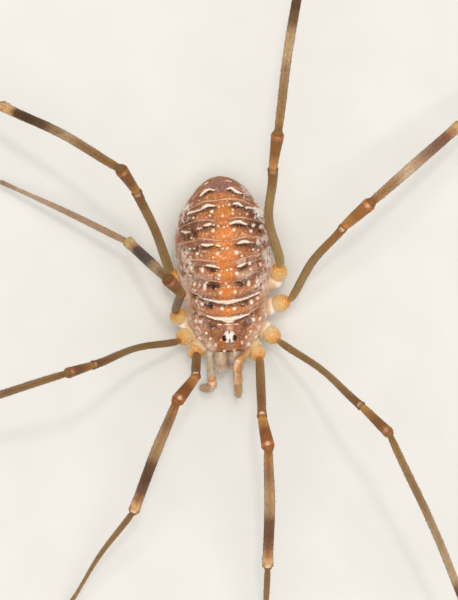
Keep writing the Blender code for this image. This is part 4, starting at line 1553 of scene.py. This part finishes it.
PALP_LEFT = (
    (0.74, -3.44, 1.62), (0.66, -3.6, 1.92), (0.42, -3.79, 2.42), (0.31, -3.92, 2.54), (0.27, -4.08, 2.52),
    (0.27, -4.3, 2.32), (0.27, -4.58, 2.0), (0.265, -4.95, 1.6), (0.255, -5.22, 1.26), (0.25, -5.3, 1.16),
)
PALP_RIGHT = (
    (-0.78, -3.42, 1.6), (-0.79, -3.7, 1.82), (-0.76, -4.3, 2.28), (-0.755, -4.5, 2.34), (-0.745, -4.66, 2.22),
    (-0.76, -4.76, 1.9), (-0.87, -4.87, 1.45), (-0.97, -4.9, 1.18), (-1.15, -4.87, 0.68), (-1.2, -4.85, 0.54),
)


def direction(heading: float, slope: float) -> Array:
    """The unit direction of a heading and a slope in degrees."""
    turn, rise = math.radians(heading), math.radians(slope)
    return np.array((math.cos(rise) * math.cos(turn), math.cos(rise) * math.sin(turn), math.sin(rise)))


def limb(base: float, middle: float, end: float, flare: float, *stops: tuple[float, str]) -> Profile:
    """A limb piece with a narrow neck and a flared far end.

    Args:
        base: The radius just past the neck.
        middle: The radius half way.
        end: The radius before the flare.
        flare: How many times wider the far end is.
        stops: Its colours along its length.

    Returns:
        The profile.
    """
    girth = ((0.0, base * 0.84), (0.03, base * 0.9), (0.08, base), (0.5, middle), (0.86, end), (0.97, end * flare),
             (1.0, end * flare))
    return Profile(girth, stops)


@dataclass(frozen=True)
class LegKind:
    """One pair's build: the lengths of its pieces, where its coxa starts, and each piece's girth and colours."""

    lengths: tuple[float, float, float, float, float]
    coxa_root: tuple[float, float, float]
    pieces: tuple[Profile, Profile, Profile, Profile]
    tarsus: tuple[float, float]


KINDS = {
    1: LegKind(
        (4.5, 1.3, 5.2, 5.8, 8.0), (0.36, -2.62, 1.52),
        (
            limb(0.17, 0.18, 0.17, 1.07, (0.0, "#d09c5c"), (0.1, "#a97b4a"), (0.3, "#9e7848"), (0.55, "#956f40"),
                 (0.75, "#8e6334"), (0.93, "#9c6833"), (1.0, "#9c6833")),
            limb(0.18, 0.22, 0.248, 1.02, (0.0, "#aa6e35"), (0.12, "#c48646"), (0.25, "#b17637"), (0.5, "#8c5327"),
                 (0.8, "#8f5728"), (0.92, "#b76b33"), (1.0, "#a85921")),
            limb(0.175, 0.21, 0.2, 1.06, (0.0, "#996234"), (0.1, "#ae7642"), (0.22, "#9a7049"), (0.38, "#ba9063"),
                 (0.5, "#b48d61"), (0.61, "#7c563a"), (0.72, "#764f34"), (0.82, "#886040"), (0.88, "#b87b4b"),
                 (0.95, "#e2b27a"), (1.0, "#ca9057")),
            limb(0.12, 0.095, 0.07, 1.15, (0.0, "#8d683b"), (0.3, "#967040"), (1.0, "#9d7a49")),
        ),
        (0.062, 0.03),
    ),
    2: LegKind(
        (7.8, 1.7, 8.9, 8.6, 12.5), (0.42, -2.14, 1.42),
        (
            limb(0.14, 0.128, 0.148, 1.07, (0.0, "#c79c5e"), (0.08, "#9e824e"), (0.4, "#9b7949"), (0.7, "#9e7b4a"),
                 (0.93, "#8a5d31"), (1.0, "#8a5d31")),
            limb(0.145, 0.172, 0.192, 1.02, (0.0, "#a26a34"), (0.1, "#c08646"), (0.3, "#a46e33"), (0.6, "#82552b"),
                 (0.78, "#84562c"), (0.91, "#a76f37"), (1.0, "#995623")),
            limb(0.135, 0.145, 0.142, 1.1, (0.0, "#8c6738"), (0.08, "#9d7541"), (0.3, "#947249"), (0.5, "#ab8b62"),
                 (0.72, "#c2a279"), (0.79, "#79573e"), (0.9, "#745038"), (0.95, "#daab76"), (1.0, "#ca965d")),
            limb(0.1, 0.078, 0.06, 1.15, (0.0, "#916f40"), (0.5, "#a17e52"), (1.0, "#ac8a5e")),
        ),
        (0.055, 0.027),
    ),
    3: LegKind(
        (4.5, 1.45, 5.0, 6.1, 8.5), (0.46, -1.6, 1.38),
        (
            limb(0.155, 0.165, 0.158, 1.07, (0.0, "#d09c5c"), (0.1, "#9e804e"), (0.3, "#a08251"), (0.55, "#9d784a"),
                 (0.75, "#9e743e"), (0.93, "#9c6836"), (1.0, "#9c6836")),
            limb(0.18, 0.225, 0.25, 1.02, (0.0, "#a96c32"), (0.1, "#c2823f"), (0.3, "#ac783c"), (0.55, "#9d6730"),
                 (0.8, "#a06833"), (0.92, "#b77637"), (1.0, "#a25821")),
            limb(0.175, 0.208, 0.203, 1.06, (0.0, "#8c5d2e"), (0.1, "#a87844"), (0.22, "#a27a50"), (0.38, "#d4b08a"),
                 (0.48, "#c09a74"), (0.58, "#98755a"), (0.72, "#865f4b"), (0.81, "#835a3d"), (0.9, "#bd8756"),
                 (0.94, "#dfaf78"), (1.0, "#ca9057")),
            limb(0.13, 0.115, 0.08, 1.1, (0.0, "#ac8668"), (0.1, "#b08b6a"), (0.3, "#a88768"), (0.5, "#b18f6c"),
                 (0.75, "#b99c7e"), (1.0, "#a4886c")),
        ),
        (0.06, 0.03),
    ),
    4: LegKind(
        (6.0, 1.55, 6.4, 8.2, 11.0), (0.5, -0.92, 1.34),
        (
            limb(0.19, 0.17, 0.178, 1.07, (0.0, "#d09c5c"), (0.08, "#ad9155"), (0.3, "#a98855"), (0.55, "#a57d4c"),
                 (0.75, "#a78552"), (0.93, "#946736"), (1.0, "#946736")),
            limb(0.17, 0.2, 0.235, 1.02, (0.0, "#ad7339"), (0.1, "#cb914d"), (0.3, "#ae783c"), (0.5, "#946130"),
                 (0.8, "#8e5b2b"), (0.92, "#a56b35"), (1.0, "#995421")),
            limb(0.16, 0.175, 0.182, 1.08, (0.0, "#876032"), (0.08, "#a1743c"), (0.22, "#997344"), (0.38, "#a07a52"),
                 (0.5, "#c8a578"), (0.6, "#b89569"), (0.7, "#765634"), (0.8, "#61442b"), (0.88, "#754b28"),
                 (0.94, "#deb17c"), (1.0, "#cc9961")),
            limb(0.115, 0.085, 0.062, 1.15, (0.0, "#987245"), (0.5, "#a88659"), (1.0, "#b69768")),
        ),
        (0.06, 0.03),
    ),
}


@dataclass(frozen=True)
class Pose:
    """How one leg is held. Headings and slopes are in degrees, bows sideways in millimetres."""

    pair: int
    side: Side
    coxa_end: tuple[float, float, float]
    hip: tuple[float, float, float]
    headings: tuple[float, float, float, float]
    slopes: tuple[float, float, float, float]
    bows: tuple[float, float, float]
    turn: float
    tone: float = 1.0  # how light its colours are beside the pair's; below 1 it is painted shade, the leg darker than its twin
    knee: float = 0.5  # how strongly its joint patches show
    early: float = 0.0  # how much nearer the body its tibia's dark band lies, as a share of the tibia
    painted_band_shade: float = 1.0  # painted shade on that band beside the pair's, with its far end painted lighter by as much
    FOOT_LEVEL = 0.2
    LANDING_SLOPE = 24.0

    @property
    def name(self) -> str:
        """The leg's name as the solids have it."""
        return f"leg{self.pair}_{self.side.word}"

    @property
    def kind(self) -> LegKind:
        """The pair's build."""
        return KINDS[self.pair]

    def joints(self) -> Array:
        """The hip and the far ends of femur, patella, tibia and metatarsus."""
        places = [np.array(self.hip)]
        for heading, slope, length in zip(self.headings, self.slopes, self.kind.lengths):
            places.append(places[-1] + direction(heading, slope) * length)
        return np.array(places)

    def foot(self, start: Array, steps: int = 10) -> Array:
        """The tarsus's line as it comes down and lies on the floor.

        Args:
            start: Its joint with the metatarsus.
            steps: How many steps it is made in.

        Returns:
            The points, the joint first. Their height is that of the solid's middle.
        """
        slope = math.radians(self.LANDING_SLOPE)
        curve = (start[2] - self.FOOT_LEVEL) / (1 - math.cos(slope))
        landing = curve * slope
        length = self.kind.lengths[4]
        step = length / steps
        places = [start]
        for k in range(steps):
            middle = (k + 0.5) * step
            lean = slope * max(0.0, 1 - middle / landing)
            facing = math.radians(self.headings[3] + self.turn * (middle / length) ** 1.4)
            here = places[-1] + np.array((math.cos(facing), math.sin(facing), 0.0)) * (step * math.cos(lean))
            left = slope * max(0.0, 1 - (k + 1) * step / landing)
            here[2] = self.FOOT_LEVEL + curve * (1 - math.cos(left))
            places.append(here)
        return np.array(places)


POSES = (
    Pose(1, Side.LEFT, (1.0, -3.36, 1.15), (1.18, -3.84, 1.65), (-92, -81.7, -93.2, -95.4), (61.6, 27.1, -25.2, -35),
         (0, 0.06, 0), 14, 1.0, 1.0),
    Pose(1, Side.RIGHT, (-1.34, -3.31, 1.15), (-1.31, -3.53, 1.65), (-92, -131.2, -114.9, -127.3),
         (80.3, 29, -26.6, -36), (0, -0.04, -0.11), 16, 0.88, 1.0, 0.04, 0.93),
    Pose(2, Side.LEFT, (1.46, -2.67, 1.2), (1.98, -3.17, 1.7), (-41.5, -48.2, -69.1, -66), (61, 38.3, -20.6, -41),
         (0.15, 0.11, 0), 38),
    Pose(2, Side.RIGHT, (-1.57, -2.65, 1.2), (-1.97, -2.94, 1.7), (-168.8, -166.6, -166.5, -168),
         (65.8, 59.7, -30.6, -35), (-0.18, 0.07, 0), 34, 0.84, 0.4),
    Pose(3, Side.LEFT, (1.79, -1.77, 1.25), (2.51, -1.57, 1.75), (51.2, 38.3, 37.7, 35), (39.4, 23.1, -19.2, -26.5),
         (0.18, 0, 0), -30, 1.0, 0.8, -0.02),
    Pose(3, Side.RIGHT, (-1.85, -2.16, 1.25), (-2.06, -1.75, 1.75), (61.2, 128.1, 134.9, 151.3),
         (80.3, 60.1, -63.8, -20.5), (0, 0, -0.04), 24, 0.7, 0.3, 0.16, 0.66),
    Pose(4, Side.LEFT, (2.06, -0.7, 1.32), (2.2, -0.18, 2.02), (92.6, 78.7, 78.4, 76), (52.9, 35, -14.5, -39.8),
         (0.3, 0.06, 0), -22, 1.0, 0.25),
    Pose(4, Side.RIGHT, (-2.03, -0.75, 1.32), (-2.16, -0.14, 2.02), (108.3, 121.2, 147.8, 145),
         (58.3, 52.7, -32.6, -29.8), (-0.08, -0.13, 0), -26, 0.84, 0.4, 0.06, 0.88),
)


@functools.cache
def dressed(finish: Finish) -> bpy.types.Material:
    """The finish's material, made once however many pieces share it."""
    return finish.dress()


@dataclass
class Leg:
    """One leg from its coxa under the body to its claw on the floor."""

    pose: Pose
    PIECES = (
        ("femur", Slot.FEMUR, Brush(9, 0.13, 0.1), JointEnd(0.75, 0.09, 0.7, 0.1, 1.5, "#5e351a", 0.08)),
        ("patella", Slot.PATELLA, Brush(11, 0.13, 0.09), JointEnd(0.6, 0.1, 0.32, 0.1, 0.95, "#bb6a3c", 0.07)),
        ("tibia", Slot.TIBIA, Brush(10, 0.12, 0.11), JointEnd(0.8, 0.1, 0.5, 0.12, 1.1, "#a5683c", 0.26)),
        ("metatarsus", Slot.METATARSUS, Brush(8, 0.12, 0.1, 0.008), JointEnd(0.3, 0.06, 0.5, 0.1, 1.2, "#8a6a44", 0.12)),
    )
    SHADE_FALLOFF = np.array((1.0, 1.2, 1.5))  # how painted shade takes down a darker leg's red, green and blue
    CUFF = 0.2  # how far the coxa's white rim reaches round the trochanter, in millimetres
    TEETH = Brush(rows=7, space=0.05, length=0.075, thick=0.016, lean=0.5)

    def coxa(self) -> None:
        """Make the coxa, a stout pale cone from under the body with a white rim on its upper side."""
        root = np.array(self.pose.kind.coxa_root) * (self.pose.side.value, 1, 1)
        end = np.array(self.pose.coxa_end)
        length = float(np.linalg.norm(end - root)) + self.CUFF
        places, cap = capped(length, 0.025, 0.24)
        share = places / length
        path = root + unit(end - root) * places[:, None]
        girth = stations_at(((0, 0.26), (0.5, 0.405), (0.75, 0.395), (0.86, 0.37), (0.92, 0.385), (1, 0.36)), share)[:, 0]
        tube = Tube(path, girth * cap, UP, 40)
        upper = ease(-0.3, 0.5, np.cos(np.arange(40) * math.tau / 40))
        brim = (ease(0.76, 0.88, share)[:, None] * upper)[..., None]
        plain_colour = stained(((0.0, "#dcc6ac"), (0.5, "#e8caa2"), (1.0, "#eec894")), share)[:, None]
        colour = plain_colour * (1 - brim) + linear("#fff7ec") * brim
        look = dressed(LimbCuticle("pale_waxed_chitin_of_the_coxa", roughness=0.45, contrast=0.24, flesh=0.1))
        add_piece(f"{self.pose.name}_coxa_shell", tube.shape(colour), look)

    def trochanter(self) -> None:
        """Make the trochanter, a round pale orange ball with fine rings and a white brim."""
        start, end = np.array(self.pose.coxa_end), np.array(self.pose.hip)
        long = max(0.34, float(np.linalg.norm(end - start)) / 2)
        ball = Ball(start * 0.54 + end * 0.46, (0.355, 0.355, long), end - start, 70, 72)
        ways = ball.ways()
        share = (ways[..., 2] + 1) / 2
        wave = grain(ways.reshape(-1, 3), 0.25, 30 + self.pose.pair).reshape(share.shape)
        stops = ((0.0, "#f3e2c8"), (0.2, "#fff6ea"), (0.28, "#fbecd2"), (0.36, "#f0cd96"), (0.6, "#efc788"),
                 (0.8, "#e8b468"), (0.92, "#df9a44"), (1.0, "#d98f3c"))
        colour = stained(stops, share.ravel()).reshape(*share.shape, 3)
        rings = 0.5 + 0.5 * np.sin(math.tau * (share * 11 + 0.25 * wave))
        grit = 0.5 * ease(0.35, 0.8, grain(ways.reshape(-1, 3), 0.13, 40 + self.pose.pair).reshape(share.shape))[..., None]
        colour = colour * (1 - grit) + linear("#fdeed6") * grit
        colour = colour * (1 - 0.2 * rings * window(0.25, 0.9, 0.06, share) - 0.08 * ease(0.1, 0.7, wave))[..., None]
        swell = 1 + 0.03 * window(0.1, 0.24, 0.04, share) - 0.04 * np.exp(-(((share - 0.86) / 0.03) ** 2)) - 0.006 * rings
        stain = np.concatenate([colour, np.zeros((*share.shape, 1))], axis=-1)
        look = dressed(LimbCuticle("pale_orange_chitin_of_the_hip", roughness=0.38, coat=0.2, contrast=0.14,
                                   depth_of_grain=0.004, flesh=0.15, depth=0.12))
        name = f"{self.pose.name}_trochanter"
        add_piece(f"{name}_shell", ball.shape(swell, stain), look, (name,))

    def long_pieces(self) -> list[Shape]:
        """Make the four long pieces.

        Returns:
            Their bristles and teeth.
        """
        joints = self.pose.joints()
        bows = (self.pose.bows[0], 0.0, self.pose.bows[1], self.pose.bows[2])
        bristles = []
        profiles = self.pose.kind.pieces
        for k, ((word, slot, brush, finish), profile) in enumerate(zip(self.PIECES, profiles)):
            knee = k < 3
            finish = replace(finish, skin=finish.skin * self.pose.knee)
            if word == "tibia":
                profile = profile.banded(self.pose.early, self.pose.painted_band_shade)
            made, tube = LimbPiece(joints[k], joints[k + 1], profile, finish, bows[k]).shape()
            girth = profile.girth[-1][1]
            ball = Ball(joints[k + 1], (girth * 0.84,) * 3, joints[k + 1] - joints[k], 14, 20)
            joint_colour = profiles[min(k + 1, 3)].stops[0][1]
            made = made.joined(ball.shape(stain=plain(joint_colour, 0.0, ball.ways())))
            # Painted shade: a leg's colours darkened beside its pair's, all but the metatarsus.
            if word != "metatarsus":
                made.layers["stain"][:, :3] *= self.pose.tone ** self.SHADE_FALLOFF
            name = f"{self.pose.name}_{word}"
            look = dressed(LimbCuticle(f"tanned_chitin_of_the_{word}", roughness=0.5, coat=0.0, gloss=0.2))
            add_piece(f"{name}_shell", made, look, (name,))
            seed = 100 * self.pose.pair + 10 * k + self.pose.side.value
            strip = (k / 6, (k + 1) / 6)
            bristles.append(brush.on(tube, seed, strip=strip))
            if knee:
                edge = 0.14 / tube.run[-1]
                bristles.append(self.TEETH.on(tube, seed + 5, 1 - 1.9 * edge, 1 - 0.9 * edge, strip))
        return bristles

    def tarsus(self) -> Shape:
        """Make the tarsus, a lash of many short rings that comes down and lies on the floor.

        Returns:
            Its bristles.
        """
        thick, thin = self.pose.kind.tarsus
        line = self.pose.foot(self.pose.joints()[-1], 60)
        path, _ = smooth_line(line, 0.045)
        run = np.concatenate([[0.0], np.cumsum(np.linalg.norm(np.diff(path, axis=0), axis=1))])
        keep = run < run[-1] - 0.1
        path, run = path[keep], run[keep]
        share = run / run[-1]
        radii = thick + (thin - thick) * share
        ring = np.mod(12 * np.log1p(run) + run * 0.6, 1)
        radii *= 1 + 0.1 * (ring - 0.5)
        slope = math.radians(Pose.LANDING_SLOPE)
        landing = (path[0, 2] - Pose.FOOT_LEVEL) / (1 - math.cos(slope)) * slope
        path[:, 2] -= (Pose.FOOT_LEVEL - radii * 1.03) * ease(0, landing, run)
        cap = np.sin(np.clip((run[-1] - run) / 0.05, 0.3, 1) * math.pi / 2)
        tube = Tube(path, radii * cap, UP, 14)
        stops = ((0.0, "#9c8059"), (0.5, "#937650"), (1.0, "#7c6040"))
        shade = 1 - 0.4 * np.exp(-(((ring - 0.02) / 0.1) ** 2)) - 0.3 * np.exp(-(((ring - 1.0) / 0.1) ** 2))
        shape = tube.shape(stained(stops, share) * shade[:, None])
        tip, way = path[-1], tube.way[-1]
        shape = shape.joined(claw(tip - way * 0.01, way + UP * 0.9, -UP, 0.1, 0.024, ("#4a2a16", "#1a0b05")))
        look = dressed(LimbCuticle("thin_tanned_chitin_of_the_tarsus", roughness=0.45, row_width=0.03))
        name = f"{self.pose.name}_tarsus"
        add_piece(f"{name}_shell", shape, look, (name,))
        brush = Brush(7, 0.07, 0.075, 0.006, 0.8)
        return brush.on(tube, 900 + self.pose.pair * 2 + self.pose.side.value, strip=(5 / 6, 1.0))

    def build(self) -> None:
        """Make the whole leg."""
        self.coxa()
        self.trochanter()
        first, *rest = [*self.long_pieces(), self.tarsus()]
        add_piece(f"{self.pose.name}_setae", first.joined(*rest), dressed(BRISTLE))


@dataclass(frozen=True)
class PhotoView:
    """The photograph's view: straight down, the head toward the bottom and turned a little."""

    width: int = 458
    height: int = 600
    scale: float = 0.0395  # millimetres a pixel, on the plane below
    plane: float = 2.0
    distance: float = 110.0
    body_middle: tuple[float, float] = (224.4, 263.9)  # the pixel where the body's middle is seen
    right: tuple[float, float] = (0.998, -0.0575)  # the picture's right in the part's frame
    sensor: float = 24.0

    def build(self) -> None:
        """Place the camera."""
        across = self.width / 2 - self.body_middle[0]
        down = self.height / 2 - self.body_middle[1]
        cosine, sine = self.right
        x = self.scale * (across * cosine + down * sine)
        y = self.scale * (across * sine - down * cosine)
        data = bpy.data.cameras.new("photo_view")
        data.sensor_fit = "VERTICAL"
        data.sensor_height = self.sensor
        data.lens = self.sensor * self.distance / (self.height * self.scale)
        data.clip_start = MM
        camera = bpy.data.objects.new("photo_view", data)
        camera.location = (BODY_AT + (x, y, self.distance + self.plane)) * MM
        camera.rotation_euler = (0.0, 0.0, math.atan2(sine, cosine))
        bpy.context.scene.collection.objects.link(camera)
        bpy.context.scene.camera = camera


@dataclass(frozen=True)
class Studio:
    """A plain pale floor under soft light from above."""

    floor_half: float = 400.0
    sky: float = 0.5
    # Each lamp's power in watts, its side in metres and its place in metres: the broad soft one, and a small
    # bright one for the points of light on eyes and warts
    lamps: tuple[tuple[str, float, float, tuple[float, float, float]], ...] = (
        ("key", 0.96, 0.28, (0.02, 0.01, 0.37)),
        ("spark", 0.16, 0.02, (0.03, 0.08, 0.37)),
    )

    def build(self) -> None:
        """Make the floor and the lights."""
        half = self.floor_half * MM
        mesh = bpy.data.meshes.new("floor")
        mesh.from_pydata([(-half, -half, 0), (half, -half, 0), (half, half, 0), (-half, half, 0)], [], [(0, 1, 2, 3)])
        mesh.materials.append(dressed(StudioBoard("matt_painted_board", roughness=0.9, ior=1.3)))
        floor = bpy.data.objects.new("floor", mesh)
        bpy.context.scene.collection.objects.link(floor)
        world = bpy.data.worlds.new("soft_sky")
        world.use_nodes = True
        sky = world.node_tree.nodes["Background"]
        sky.inputs["Color"].default_value = (1.0, 0.99, 0.975, 1.0)
        sky.inputs["Strength"].default_value = self.sky
        bpy.context.scene.world = world
        for name, power, size, at in self.lamps:
            data = bpy.data.lights.new(name, "AREA")
            data.size = size
            data.energy = power
            lamp = bpy.data.objects.new(name, data)
            lamp.location = at
            lamp.rotation_euler = (-Vector(at)).to_track_quat("-Z", "Y").to_euler()
            bpy.context.scene.collection.objects.link(lamp)
        bpy.context.scene.view_settings.view_transform = "Standard"


def main() -> None:
    """Build the animal's pieces from the trunk outward, then the studio."""
    logging.basicConfig(level=logging.INFO, format="%(name)s: %(message)s")
    Trunk().build()
    EyeMound().build()
    Jaw(Side.LEFT, 0.22).build()
    Jaw(Side.RIGHT, -0.36).build()
    Feeler(Side.LEFT, PALP_LEFT, (0.1, 0.36, 0.5, 0.7)).build()
    Feeler(Side.RIGHT, PALP_RIGHT, (0.09, 0.43, 0.53, 0.65), pale_femur=True).build()
    for pose in POSES:
        Leg(pose).build()
    Studio().build()
    PhotoView().build()


if __name__ == "__main__":
    main()
